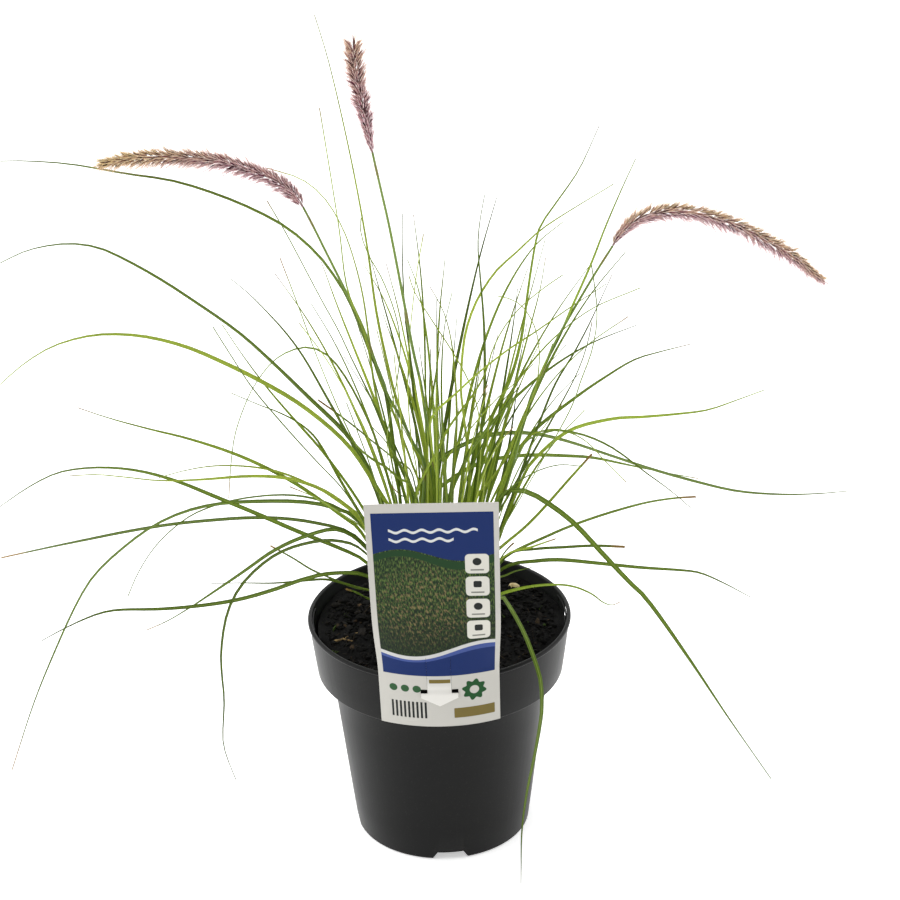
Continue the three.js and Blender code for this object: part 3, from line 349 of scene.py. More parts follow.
# %% Read culms
culms = [
    {"heading": 183,
     "stem": [(425, 471), (412, 441), (400, 416), (388, 396), (375, 361), (364, 330), (352, 304),
              (328, 256), (302.8, 206.7)],
     "head": [(292, 193), (275, 180), (250, 170.5), (220, 161.5), (190, 158), (160, 157), (130, 159),
              (105, 163.5), (93, 167)],
     "leaf": {"width": 3.4, "via": [(0, 161), (29, 161), (72, 164.5), (126, 174), (172, 181),
                                    (215, 194), (253, 209.5), (287, 228), (316, 253), (334, 276),
                                    (348, 299), (361, 330), (373, 361), (386, 396)]}},
    {"heading": 232,
     "stem": [(440, 496), (433, 460), (426.5, 422), (421, 385), (413, 350), (403.3, 298.5), (390, 230),
              (381, 190), (372.3, 152)],
     "head": [(366, 122), (359, 90), (354, 60), (353, 35)],
     "leaf": {"width": 2.6, "cut": True, "via": [(414, 352), (421, 392), (428, 440)]}},
    {"heading": 8,
     "stem": [(505, 490), (530, 400), (541, 375), (556, 341), (570.5, 315), (594.8, 274), (613, 245.4)],
     "head": [(620, 234), (636, 220), (655, 213), (680, 211.5), (705, 215.5), (735, 225),
              (765, 240), (795, 258), (812, 272), (828, 284)],
     "leaf": {"width": 3.2, "via": [(636, 159), (622, 189), (605, 228), (591, 264), (573, 305),
                                    (560, 336), (540, 377), (515, 450)]}},
]
print("culms read:", len(culms))

# %% Read leaves
def seen(heading, width, *via, **more):
    """One leaf as the picture shows it: its heading, its width, and its pixels from tip to foot."""
    return {"heading": heading, "width": width, "via": via, **more}


traced_leaves = [
    seen(172, 3.5, (0, 263), (29, 250), (66, 244), (98, 248), (129, 262), (161, 280), (192, 300),
         (238, 332), (275, 365), (310, 399), (344, 432), (362, 457), (374, 482)),
    seen(148, 2.1, (314, 15), (327, 57), (342, 118), (356, 184), (367, 247), (376.5, 315), (391, 380),
         (399, 407), (408, 432), (418, 455), (427, 480)),
    seen(198, 2.2, (319.5, 108), (330, 172), (339, 230), (347, 289), (366, 338), (376, 396), (381, 416),
         (387, 440), (393, 470), (399, 501)),
    seen(162, 1.9, (267, 168), (301, 179), (324, 198), (341.6, 227), (353, 258), (363, 298), (371, 350),
         (380, 380), (393, 412), (402, 437), (411, 462), (421, 501)),
    seen(208, 2.1, (267, 201), (287, 235), (321.5, 300), (338, 330), (351, 358), (371, 399), (380, 420),
         (392, 449), (405, 478), (413, 501)),
    seen(222, 1.9, (280, 258), (296, 300), (314, 349), (334, 399), (345, 424), (356, 445), (372, 459),
         (386, 467), (398, 478), (414, 492), root_turn=250),
    seen(158, 2.4, (231, 279), (255, 300), (296, 346), (330, 403), (358, 455), (371, 480), (380, 503)),
    seen(214, 1.9, (361, 218), (361, 234), (369.5, 257), (382, 279), (394, 310), (400, 338), (399.5, 359),
         (397, 380), (392, 405), (388, 430), (387, 450), (391, 475)),
    seen(132, 2.1, (402.5, 214), (402, 242), (402.6, 276), (405, 315), (410, 353), (414, 397), (418, 420),
         (424, 450), (430, 480)),
    seen(218, 1.8, (423.4, 234), (417, 271), (411, 322), (408, 366), (408, 399), (411, 440), (417, 475)),
    seen(200, 2.1, (409, 276), (415, 293), (432, 321), (451, 350), (466, 376), (476, 402), (480, 430),
         (479, 470), root_turn=20),
    seen(152, 2.1, (429.6, 286.5), (442, 309), (450, 336), (455, 375), (457, 415), (455, 455), (452, 498),
         root_turn=285),
    seen(30, 2.4, (485, 195), (480, 222), (478, 246), (480, 276), (484, 327), (485, 380), (483, 415),
         (479, 450), (474, 498)),
    seen(14, 2.4, (613.6, 184), (565, 214), (540, 231), (515, 254), (498, 269), (482, 291), (471, 314),
         (464, 341), (461, 385), (464, 415), (468, 450), (469, 498), root_turn=60),
    seen(34, 2.6, (599, 126), (579, 169), (558, 200), (541, 225), (536, 242), (530, 279), (521, 341),
         (509, 382), (497, 405), (489, 424), (484, 445), (480, 468), (476, 498)),
    seen(170, 1.8, (498, 296), (512, 299.5), (522, 306), (531, 319), (537, 336), (539, 359), (535, 390),
         (527, 407), (518, 428), (509, 453), (498, 470), (486, 486), (476, 499), root_turn=345),
    seen(350, 2.4, (606, 284), (569, 308), (534, 333), (511, 348), (480, 372), (458, 392), (432, 417),
         (431, 440), (436, 470), (440, 499), root_turn=215),
    seen(20, 1.9, (563, 275), (544, 288), (522, 306), (505, 326), (493, 349), (486, 372), (474, 394),
         (461, 411), (447, 431), (437, 452), (426, 471), (416, 501), root_turn=215),
    seen(328, 2.1, (591.6, 265), (595, 289), (597, 308), (596, 330), (591, 354), (582, 378), (565, 420)),
    seen(20, 2.2, (612, 275), (597, 307), (588, 326), (574, 353), (549, 399)),
    seen(338, 2.1, (592, 322), (587, 345), (577, 373), (555, 415)),
    seen(16, 2.9, (690.5, 344), (659, 352), (634, 360), (605, 377.5), (579, 395), (542, 423), (525, 441),
         (513, 458), (503, 480)),
    seen(342, 2.9, (764, 390), (737, 400), (708, 410), (680, 414), (645, 417), (611, 419), (568, 431),
         (533, 461), (523, 478), (513, 502), (503, 528)),
    seen(354, 3.5, (850, 491), (817, 494), (780, 494.6), (737, 491), (694, 481), (651, 469), (608, 455),
         (565, 441), (530, 433.5), (496, 434), (473, 440), (450, 452), (437, 461), (425, 475), (414, 501),
         root_turn=170),
    seen(22, 2.9, (698, 478.5), (662, 472), (628, 465), (593, 458), (565, 456), (530, 455), (499, 458),
         (475, 465), (457, 475), (442, 486), (429, 501), root_turn=140),
    seen(330, 2.4, (690.5, 508), (668, 489), (645, 472), (622, 454), (602, 442), (576, 433), (548, 432),
         (518, 455)),
    seen(26, 1.7, (626, 482), (605, 461), (588, 443), (570, 433), (550, 430), (520, 447)),
    seen(28, 2.4, (696, 497), (674, 498.6), (645, 503), (611, 512), (579, 523), (550, 535), (504, 557),
         cut=True),
    seen(344, 2.6, (625, 547), (593, 546), (565, 547), (536, 549), (507, 556), cut=True),
    seen(318, 2.2, (555.6, 539), (533, 547), (504, 557), cut=True),
    seen(4, 2.9, (750, 597), (723, 583), (700, 573), (680, 570), (637, 567), (593, 563), (559, 560),
         (536, 561), (507, 566)),
    seen(332, 3.7, (771, 779), (730, 720), (690, 660), (647, 600), (628, 581), (602, 553), (573, 522),
         (545, 501), (525, 491), (507, 492), (492, 512)),
    seen(36, 2.6, (592, 454), (576, 472), (550, 501), (525, 527), (504, 545), cut=True),
    seen(300, 2.9, (520.7, 884), (521, 867), (522, 832), (527, 793), (534, 758), (540.8, 717), (541.6, 698),
         (540, 678), (533, 655), (524, 632), (512, 610), (501, 597)),
    seen(322, 2.4, (620, 602), (612, 605), (603, 602), (592, 594), (574, 587), (554, 585), (528, 587),
         (501, 594)),
    seen(52, 2, (533, 567), (516, 571), (501, 577)),
    seen(174, 3.5, (0, 385), (23, 365), (52, 347), (86, 336.5), (115, 334), (149, 337), (187, 347),
         (224, 363), (258, 380), (296, 402), (330, 428), (352, 450), (367, 472), (380, 493), (390, 510)),
    seen(190, 2.8, (77.5, 408), (109, 418.5), (149, 429), (187, 438), (230, 452), (266, 468), (302, 488),
         (342, 516), (361, 532)),
    seen(176, 3.1, (0, 507), (29, 487), (57, 473), (86, 468), (115, 468), (143.5, 472), (178, 482),
         (218, 498), (258, 514), (301, 532.5), (339, 548), (366, 562)),
    seen(204, 2.6, (69, 476), (95, 474.5), (123, 477), (161, 481), (201, 480), (244, 476.5), (273, 476.5),
         (296, 480), (321, 489), (344, 504), (364, 524)),
    seen(168, 2.9, (1, 558), (43, 549), (86, 540), (129, 531), (172, 524), (215, 520), (253, 518),
         (287, 519), (316, 523), (347, 531), (366, 546), cut=True),
    seen(200, 3.3, (12, 770), (35, 700), (60, 640), (79, 600), (95, 575), (121, 550), (152, 527),
         (184, 512), (218, 504), (258, 501.5), (301, 502), (330, 507), (362, 522)),
    seen(164, 1.7, (128, 596), (138, 573), (155, 547), (178, 525), (201, 511), (240, 499), (290, 495),
         (330, 504), (362, 526)),
    seen(186, 2.9, (147, 630), (168, 621), (190, 608), (202, 600), (244, 571), (275, 550), (310, 535),
         (339, 530), (366, 548)),
    seen(224, 2.4, (236, 780), (228, 760), (223, 740), (224.5, 700), (222, 672), (221.5, 650), (226, 618),
         (235, 595), (250, 575), (275, 555), (304, 544), (336, 541), (364, 552)),
    seen(176, 1.8, (211, 584), (244, 583), (275, 583), (304, 581), (330, 580), (369, 590)),
    seen(196, 3.1, (42, 641), (60, 631), (80, 621), (100, 613), (120, 609.5), (160, 609), (200, 606),
         (238, 600), (273, 590), (301, 580), (330, 573.5), (367, 576)),
    seen(142, 1.8, (270, 546), (293, 558), (319, 573), (367, 590), cut=True),
    seen(150, 1.6, (229, 498), (230.5, 472), (235, 435), (247, 400), (258, 380), (275, 360), (296, 349),
         (313, 348), (330, 357), (347, 379), (363, 409), (374, 435), (382, 462), (390, 483), (397, 502)),
    seen(216, 2.4, (213, 327), (230, 354), (253, 389), (284, 426), (316, 461), (344, 491), (368, 530)),
    seen(152, 2.2, (222, 325), (240, 352), (265, 385), (295, 420), (325, 455), (364, 510)),
    seen(164, 2.2, (231, 393), (261, 406), (277, 412), (300, 424), (318, 441), (342, 483), (364, 520)),
    seen(182, 2, (159, 478), (184, 471), (212, 466), (244, 466), (275, 471), (304, 482), (330, 496),
         (362, 524)),
    seen(230, 2.2, (290, 487), (312, 496), (328, 505), (348, 518), (365, 532), cut=True),
    seen(200, 2.2, (346, 589.5), (358, 593), (372, 600), cut=True),
    seen(326, 2.2, (514, 543), (508, 549), (500, 560), cut=True),
    seen(8, 1.8, (533, 364), (513, 385), (500, 396), (484, 413), (464, 437), (450, 454), (441, 478),
         root_turn=230),
    seen(22, 2.1, (527, 322), (522, 350), (515, 383), (510, 403), (504, 430), (497, 460), (490, 492),
         root_turn=20),
    seen(172, 1.8, (318, 400), (340, 416), (357, 429), (373, 442), (393, 458), (413, 477), cut=True),
    seen(196, 1.6, (392, 487), (400, 495), (408, 503), root_turn=236, cut=True),
]
print("leaves read:", len(traced_leaves))

# %% [markdown]
# ## From a pixel to a place
#
# One pixel is a line of sight, not a place. A leaf leans in one upright plane through its root, so
# where the line of sight meets that plane is where the leaf is. A sweep turns the plane a little
# along the leaf, as a real leaf drifts sideways.

# %% Lines of sight
eye_ahead = np.array([0, cos(eye_down), -sin(eye_down)])
eye_upward = np.array([0, sin(eye_down), cos(eye_down)])
eye_level = np.array([1.0, 0, 0])
eye_right = eye_level * cos(eye_roll) + eye_upward * sin(eye_roll)
eye_up = eye_upward * cos(eye_roll) - eye_level * sin(eye_roll)


def line_of_sight(pixel):
    return (eye_ahead * eye_focal + eye_right * (pixel[0] - picture_centre)
            + eye_up * (picture_centre - pixel[1]))


def place_in_plane(pixel, root, heading):
    ray = line_of_sight(pixel)
    across = np.array([-sin(heading), cos(heading), 0])
    start = np.array([root["x"], root["y"], 0]) - eye
    return eye + ray * (start @ across) / (ray @ across)


def place_at_level(pixel, z):
    ray = line_of_sight(pixel)
    return eye + ray * (z - eye[2]) / ray[2]


print("the picture's centre meets the floor at", place_at_level((picture_centre, picture_centre), 0).round())

# %% [markdown]
# ## Smooth paths
#
# A path runs through its points without overshoot, because the knots are spaced by the square root of
# each step's length. Dividing it again by length gives even steps for a blade's cross-sections.

# %% Small sums
draw_step, draw_end = 16807, 2147483647


def seeded(seed):
    """One repeatable stream of numbers from 0 to 1."""
    state = seed
    while True:
        state = state * draw_step % draw_end
        yield state / draw_end


def mix(low, high, share):
    return low + (high - low) * share


def smoothstep(x, low, high):
    share = np.clip((x - low) / (high - low), 0, 1)
    return share * share * (3 - 2 * share)


def unit(rows):
    return rows / np.linalg.norm(rows, axis=-1, keepdims=True)


print("ten draws average", round(sum(next(draw) for draw in [seeded(7041)] for _ in range(10)) / 10, 2))

# %% Smooth paths
path_steps = 8


def smooth_path(points):
    """Many places along a smooth line through a few points."""
    points = np.array(points, float)
    last = len(points) - 1
    chords = np.linalg.norm(np.diff(points, axis=0), axis=1)
    knots = np.concatenate([[0], np.cumsum(np.sqrt(chords))])
    before = np.maximum(np.arange(last + 1) - 1, 0)
    after = np.minimum(np.arange(last + 1) + 1, last)
    slope = (points[after] - points[before]) / (knots[after] - knots[before])[:, None]
    t = (np.arange(1, path_steps + 1) / path_steps)[:, None]
    pieces = [points[:1]]
    for i in range(last):
        span = knots[i + 1] - knots[i]
        pieces.append(points[i] * (2 * t ** 3 - 3 * t ** 2 + 1)
                      + slope[i] * ((t ** 3 - 2 * t ** 2 + t) * span)
                      + points[i + 1] * (3 * t ** 2 - 2 * t ** 3)
                      + slope[i + 1] * ((t ** 3 - t ** 2) * span))
    return np.concatenate(pieces)


def shares_along(path):
    """How far along a path each of its places is, from 0 to 1, and the path's whole length."""
    walked = np.concatenate([[0], np.cumsum(np.linalg.norm(np.diff(path, axis=0), axis=1))])
    return walked / walked[-1], walked[-1]


def along(path, share):
    """The places at these shares of a path's length."""
    shares, _ = shares_along(path)
    return np.stack([np.interp(share, shares, path[:, axis]) for axis in range(3)], axis=-1)


bent_path = smooth_path([(0, 0, 0), (0, 30, 40), (0, 90, 40)])
print("three points give", len(bent_path), "places over", round(shares_along(bent_path)[1], 1), "millimetres")

# %% [markdown]
# ## Keeping leaves apart
#
# Every stem and leaf that has grown is kept as a chain of thick straight steps. A new leaf is turned
# about its root, a little more each time, until its own steps clear all of those, the pot's wall and
# the tag. One sum over whole tables of numbers compares a leaf with everything at once.

# %% Clearance from pot and tag
rim_clear = 1.2
mix_clear, collar_clear, wall_clear = 2, 2, 2
least_curve = 1e-5


def tag_place(across, z, proud):
    """A place on the tag: across its sheet, at a height, and this far in front of its back."""
    share = (z - tag_foot_z) / (tag_top_z - tag_foot_z)
    slope = (rim_radius - collar_foot_radius) / (pot_height - collar_foot_z)
    front = -(collar_foot_radius + tag_back_gap + slope * (z - collar_foot_z)) - proud
    curve = (1 - smoothstep(z, pot_height, tag_flat_from)) / (rim_radius + gap) + least_curve
    shift = mix(tag_foot_shift, tag_top_shift, share)
    return np.stack([shift + np.sin(across * curve) / curve,
                     front + (1 - np.cos(across * curve)) / curve, z + 0 * across], axis=-1)


def pot_overlap(place, half):
    """How deep a place with this much leaf round it stands in the mix or the pot's wall."""
    out = np.hypot(place[..., 0], place[..., 1])
    z = place[..., 2]
    inside = mix_wall_z + mix_mound * (1 - (out / mix_reach) ** 2) + mix_clear - z
    outer = np.where(z > collar_foot_z - half - collar_clear, rim_radius,
                     mix(foot_radius, shoulder_radius, np.maximum(0, z) / collar_foot_z))
    within = out < rim_radius - rim_bead - half - wall_clear
    overlap = np.where(within, inside, outer + half + rim_clear - out)
    return np.where(z > pot_height + half + rim_clear, -np.inf, overlap)


def tag_overlap(place, half):
    """The same for the tag."""
    x, y, z = place[..., 0], place[..., 1], place[..., 2]
    sheet = tag_place(x, z, tag_thick / 2)[..., 1]
    clear = ((z > tag_top_z + half + rim_clear) | (z < tag_foot_z - half) | (y > 0)
             | (np.abs(x - tag_top_shift / 2) > tag_top_width / 2 + half + rim_clear))
    return np.where(clear, -np.inf, half + tag_thick + rim_clear - np.abs(y - sheet))


print("the tag's foot stands at y =", round(float(tag_place(0, tag_foot_z, 0)[1]), 1))

# %% Clearance between leaves
leaf_low_z = 2.5
root_near = 12
turn_step = 2.2
turn_tries = 21
step_shares = np.array([0.15, 0.3, 0.45, 0.6, 0.75, 0.9, 1])
grown = {"start": np.zeros((0, 3)), "end": np.zeros((0, 3)), "half": np.zeros(0), "owner": np.zeros(0, int)}


def thick_steps(path, count, half_at, owner):
    """A path as a chain of straight steps, each with half its thickness and its root's number."""
    places = along(path, np.arange(count + 1) / count)
    half = np.array([half_at(i / count) for i in range(count + 1)])
    return {"start": places[:-1], "end": places[1:], "half": np.maximum(half[:-1], half[1:]),
            "owner": np.full(count, owner)}


def step_distances(p1, q1, p2, q2):
    """How near the steps from p1 to q1 come to the steps from p2 to q2."""
    d1, d2, r = q1 - p1, q2 - p2, p1 - p2
    a, e, b = (d1 * d1).sum(-1), (d2 * d2).sum(-1), (d1 * d2).sum(-1)
    c, f = (d1 * r).sum(-1), (d2 * r).sum(-1)
    determinant = a * e - b * b
    s = np.where(determinant > 1e-9, np.clip((b * f - c * e) / np.maximum(determinant, 1e-9), 0, 1), 0)
    t = np.clip((b * s + f) / e, 0, 1)
    s = np.clip((b * t - c) / a, 0, 1)
    return np.linalg.norm(p1 + d1 * s[..., None] - p2 - d2 * t[..., None], axis=-1)


def worst_overlap(steps, root):
    """How deep a new leaf stands in anything at its worst place. Below 0 it stands clear."""
    share = step_shares[None, :, None]
    start, end = steps["start"], steps["end"]
    places = start[:, None] * (1 - share) + end[:, None] * share
    half = steps["half"][:, None]
    far = np.hypot(places[..., 0] - root["x"], places[..., 1] - root["y"]) > root_near
    fixed = np.maximum(pot_overlap(places, half), tag_overlap(places, half))
    fixed = np.maximum(fixed, leaf_low_z - places[..., 2])
    worst = np.where(far, fixed, -np.inf).max()
    need = half + grown["half"] + blade_clear
    middle = np.linalg.norm((start + end)[:, None] - grown["start"] - grown["end"], axis=-1) / 2
    reach = (np.linalg.norm(end - start, axis=-1)[:, None]
             + np.linalg.norm(grown["end"] - grown["start"], axis=-1)) / 2
    mine, other = np.nonzero((grown["owner"] != root["owner"]) & (middle <= reach + need))
    if len(mine):
        apart = step_distances(start[mine], end[mine], grown["start"][other], grown["end"][other])
        worst = max(worst, (need[mine, other] - apart).max())
    return worst


def remember(steps):
    for key in grown:
        grown[key] = np.concatenate([grown[key], steps[key]])


print("a leaf may turn up to", round(turn_step * ceil((turn_tries - 1) / 2)), "degrees to find room")

# %% [markdown]
# ## One leaf
#
# A leaf rises a little from its root, then follows its read points or, if it is a drawn one, leans
# over more and more along its length. Its width swells from a narrow foot and runs out in a long
# fine point.

# %% A leaf's width and path
foot_share, widest_at, point_at, point_power = 0.6, 0.35, 1.08, 0.6
cut_taper = 0.3
drawn_steps = 7


def blade_width(leaf, t, tip=blade_tip):
    swell = mix(foot_share, 1, smoothstep(t, 0, widest_at))
    point = (1 - smoothstep(t, widest_at, point_at)) ** point_power
    return np.maximum(tip, leaf["width"] * swell * (1 - cut_taper * t if leaf.get("cut") else point))


def swept(leaf, heading, t):
    """The way a leaf leans in plan at this share of its length."""
    return heading + radians(leaf["sweep"]) * t * t


def leaf_path(leaf, heading):
    root = leaf["root"]
    foot = np.array([root["x"] + foot_out * cos(heading), root["y"] + foot_out * sin(heading), stem_foot_z])
    points = [foot, foot + [0, 0, stem_rise]]
    if "via" in leaf:
        last = len(leaf["via"]) - 1
        for i in range(last, -1, -1):
            points.append(place_in_plane(leaf["via"][i], root, swept(leaf, heading, 1 - i / (last + 1))))
        return smooth_path(points)
    for k in range(1, drawn_steps + 1):
        t = (k - 0.5) / drawn_steps
        bend = radians(mix(leaf["start_lean"], leaf["end_lean"], t ** leaf["droop"]))
        turn = swept(leaf, heading, t)
        stride = np.array([sin(bend) * cos(turn), sin(bend) * sin(turn), cos(bend)])
        points.append(points[-1] + stride * leaf["length"] / drawn_steps)
    return smooth_path(points)


quarter_widths = [round(float(blade_width({"width": 3}, t / 4)), 1) for t in range(5)]
print("a 3 mm leaf is", quarter_widths, "wide along its length")

# %% Grow one leaf
def step_count(path):
    return int(np.clip(np.floor(shares_along(path)[1] / segment_length + 0.5), 4, most_segments))


def grow(leaf):
    """Turn a leaf clear of all that grew before it. If there is room, it joins its root."""
    best = None
    for k in range(turn_tries):
        turned = radians(leaf["heading"] + turn_step * ceil(k / 2) * (1 if k % 2 else -1))
        path = leaf_path(leaf, turned)
        steps = thick_steps(path, step_count(path), lambda t: 0.5 * blade_width(leaf, t),
                            leaf["root"]["owner"])
        overlap = worst_overlap(steps, leaf["root"])
        if best is None or overlap < best[0]:
            best = (overlap, turned, steps)
        if overlap <= 0:
            break
    if best[0] > 0:
        return False
    leaf["turned"] = best[1]
    leaf["root"]["leaves"].append(leaf)
    remember(best[2])
    return True


print("a leaf is checked in up to", most_segments, "steps, each about", segment_length, "long")

# %% [markdown]
# ## The whole tussock
#
# The order matters as much as the rule. The shoots' sheaths and the stiff culms stand first, the read
# leaves bend round them, and the drawn leaves fill what room is left.

# %% Stand the shoots
turn_stray, out_stray = 0.06, 1.4
draw_root = seeded(20251)
roots = []
for ring, (radius, count) in enumerate(root_rings):
    for k in range(count):
        turn = tau * (k + 0.5 * (ring % 2)) / count + turn_stray * (next(draw_root) - 0.5)
        out = radius + out_stray * (next(draw_root) - 0.5)
        roots.append({"x": out * cos(turn), "y": crown_y + out * sin(turn), "turn": turn, "radius": radius,
                      "leaves": [], "owner": len(roots), "culm": None})
for root in roots:
    sheath = np.array([[root["x"], root["y"], root_foot_z], [root["x"], root["y"], stub_top_z]])
    remember(thick_steps(sheath, 1, lambda t: stub_radius, root["owner"]))
print("shoots stand at", len(roots), "places")

# %% Stand the culms
culm_steps, head_steps, head_bristle_share = 18, 8, 0.55
culm_leaf_rolls = (50, 24)


def nearest_root(turn, ring, crowding):
    """The free root nearest to a place on the crown, with few leaves of its own so far."""
    x, y = ring * cos(turn), crown_y + ring * sin(turn)
    free = [root for root in roots if not root["culm"] and len(root["leaves"]) < blades_per_tiller + 1]
    return min(free, key=lambda root: hypot(root["x"] - x, root["y"] - y) + crowding * len(root["leaves"]))


def rolls(heading, foot, tip):
    """How far a leaf's face rolls over at its foot and at its tip, in degrees."""
    side = -1 if cos(radians(heading)) < 0 else 1
    return {"foot_roll": side * foot, "tip_roll": side * tip}


for number, culm in enumerate(culms):
    turn = radians(culm["heading"])
    root = nearest_root(turn, culm_ring, 0)
    root["culm"] = culm
    foot = np.array([root["x"], root["y"], stem_foot_z])
    stem = [foot, foot + [0, 0, culm_rise]] + [place_in_plane(pixel, root, turn) for pixel in culm["stem"]]
    head = [place_in_plane(pixel, root, turn) for pixel in culm["head"]]
    whole = smooth_path(stem + head)
    neck = (len(stem) - 1) * path_steps
    culm.update(root=root, stem_path=whole[:neck + 1], head_path=whole[neck:])
    remember(thick_steps(culm["stem_path"], culm_steps, lambda t: culm_radius, root["owner"]))
    head_half = head_core + head_bristle_share * spikelet_length
    remember(thick_steps(culm["head_path"], head_steps, lambda t: head_half, -1 - number))
for culm in culms:
    grow({**culm["leaf"], "root": culm["root"], "heading": culm["heading"], "sweep": 0,
          **rolls(culm["heading"], *culm_leaf_rolls)})
print("culms stand, with", sum(len(culm["root"]["leaves"]) for culm in culms), "leaves")

# %% Grow the read leaves
traced_foot_roll, traced_tip_roll, traced_sweep = (38, 72), (12, 48), (-11, 11)
draw = seeded(7041)
for traced in traced_leaves:
    root_turn = radians(traced.get("root_turn", traced["heading"]))
    ring = low_ring if traced["via"][-1][1] > low_pixel else high_ring
    foot_roll, tip_roll = mix(*traced_foot_roll, next(draw)), mix(*traced_tip_roll, next(draw))
    sweep = mix(*traced_sweep, next(draw))
    for tries in range(plant_tries):
        turned = traced["heading"] + (plant_turn if tries % 2 else -plant_turn) * ceil(tries / 2)
        root = nearest_root(root_turn, ring, crowd_first + crowd_more * tries)
        if grow({**traced, "root": root, "sweep": sweep, "heading": turned,
                 **rolls(traced["heading"], foot_roll, tip_roll)}):
            break
print("leaves with the read ones:", sum(len(root["leaves"]) for root in roots))

# %% Grow the drawn leaves
inner_ring, inner_spread, outer_spread, outer_ring = 12, 160, 46, 28
drawn = {"width": (1.6, 2.9), "foot_roll": (30, 75), "tip_roll": (5, 50), "sweep": (-30, 30),
         "droop": (1.1, 2.1)}
drawn_length, drawn_start_lean, drawn_end_lean = (130, 238), (1, 15), (14, 105)
arched_longer, middle_upright = 1.4, 0.65
front_calm, front_calm_from, front_calm_to = 0.42, 0.35, 0.8
front_short, front_short_from, front_short_to = 0.85, 0.3, 0.8
for level in range(blades_per_tiller):
    for root in roots:
        spread = inner_spread if root["radius"] < inner_ring else outer_spread
        heading = root["turn"] * 180 / pi + spread * (next(draw) - 0.5) * 2
        front = max(0, -sin(radians(heading)))
        arching, size = next(draw), next(draw)
        leaf = {name: mix(*span, next(draw)) for name, span in drawn.items()}
        calm = mix(1, front_calm, smoothstep(front, front_calm_from, front_calm_to))
        outer = root["radius"] / outer_ring
        if not root["culm"] and len(root["leaves"]) <= level:
            leaf.update(rolls(heading, leaf["foot_roll"], leaf["tip_roll"]), root=root, heading=heading)
            leaf["length"] = (mix(*drawn_length, size) * mix(1, arched_longer, outer * arching)
                              * mix(1, front_short, smoothstep(front, front_short_from, front_short_to)))
            leaf["start_lean"] = mix(*drawn_start_lean, outer) * calm
            leaf["end_lean"] = mix(*drawn_end_lean, arching * arching) * mix(middle_upright, 1, outer) * calm
            grow(leaf)
print("leaves grown:", sum(len(root["leaves"]) for root in roots))

# %% [markdown]
# ## Working on one piece at a time
#
# An operator acts on everything that is selected, so a piece is always selected alone, and its
# vertices are picked by where they are. A finished piece gets its name, its finish and its body, and
# the solid that it stands for is hidden.

# %% Helpers for pieces
def alone(*pieces):
    bpy.ops.object.select_all(action="DESELECT")
    for piece in pieces:
        piece.select_set(True)
    bpy.context.view_layer.objects.active = pieces[-1]


def edit(piece):
    alone(piece)
    bpy.ops.object.mode_set(mode="EDIT")
    bpy.ops.mesh.select_all(action="SELECT")


def pick(test):
    """Select the vertices that pass the test, and the edges and faces between them."""
    mesh = bmesh.from_edit_mesh(bpy.context.edit_object.data)
    bpy.ops.mesh.select_all(action="DESELECT")
    for vertex in mesh.verts:
        vertex.select = bool(test(vertex.co))
    mesh.select_flush(True)
    bmesh.update_edit_mesh(bpy.context.edit_object.data)


def close_up(piece):
    """Merge doubles, turn all faces outwards and leave edit mode."""
    bpy.ops.mesh.select_all(action="SELECT")
    bpy.ops.mesh.remove_doubles(threshold=1e-6)
    bpy.ops.mesh.normals_make_consistent(inside=False)
    bpy.ops.object.mode_set(mode="OBJECT")
    return piece


def places_of(mesh):
    flat = np.empty(3 * len(mesh.vertices), np.float32)
    mesh.vertices.foreach_get("co", flat)
    return flat.reshape(-1, 3).astype(float)


def put(mesh, places):
    mesh.vertices.foreach_set("co", places.astype(np.float32).ravel())
    mesh.update()


def carried(mesh, name, values):
    """Let the mesh carry one number for each vertex, which a finish can ask for by its name."""
    column = np.asarray(values, np.float32).ravel()
    mesh.attributes.new(name, "FLOAT", "POINT").data.foreach_set("value", column)


def join(*pieces):
    alone(*pieces)
    bpy.ops.object.join()
    return bpy.context.object


def modified(piece, kind, **settings):
    """Give a piece one modifier with these settings, and apply it."""
    alone(piece)
    modifier = piece.modifiers.new("shaping", kind)
    for setting, value in settings.items():
        setattr(modifier, setting, value)
    bpy.ops.object.modifier_apply(modifier=modifier.name)


def smooth(piece, angle):
    alone(piece)
    bpy.ops.object.shade_smooth_by_angle(angle=radians(angle))


def finished(piece, name, finish, slot, *nodes):
    piece.name = piece.data.name = name
    alone(piece)
    bpy.ops.object.transform_apply(location=True, rotation=True, scale=True)
    piece.data.materials.clear()
    piece.data.materials.append(finish.material)
    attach(piece, "root")
    if nodes:
        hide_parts(*nodes)
    print(name, "faces:", len(piece.data.polygons))
    return piece


def kept(piece):
    """Keep a template's mesh to copy, and clear its object away."""
    mesh = piece.data
    bpy.data.objects.remove(piece)
    return mesh


def many(template, places, **values):
    """One piece out of many copies of a template's faces, with a row of places for each copy."""
    count, size = places.shape[:2]
    corners = np.empty(len(template.loops), np.int32)
    template.loops.foreach_get("vertex_index", corners)
    starts = np.empty(len(template.polygons), np.int32)
    template.polygons.foreach_get("loop_start", starts)
    copy = np.arange(count, dtype=np.int32)[:, None]
    mesh = bpy.data.meshes.new("many")
    mesh.vertices.add(count * size)
    put(mesh, places)
    mesh.loops.add(count * len(corners))
    mesh.loops.foreach_set("vertex_index", (corners + copy * size).ravel())
    mesh.polygons.add(count * len(starts))
    mesh.polygons.foreach_set("loop_start", (starts + copy * len(corners)).ravel())
    mesh.update(calc_edges=True)
    mesh.shade_smooth()
    for name, value in values.items():
        carried(mesh, name, np.broadcast_to(value, (count, size)))
    piece = bpy.data.objects.new("many", mesh)
    bpy.context.collection.objects.link(piece)
    return piece


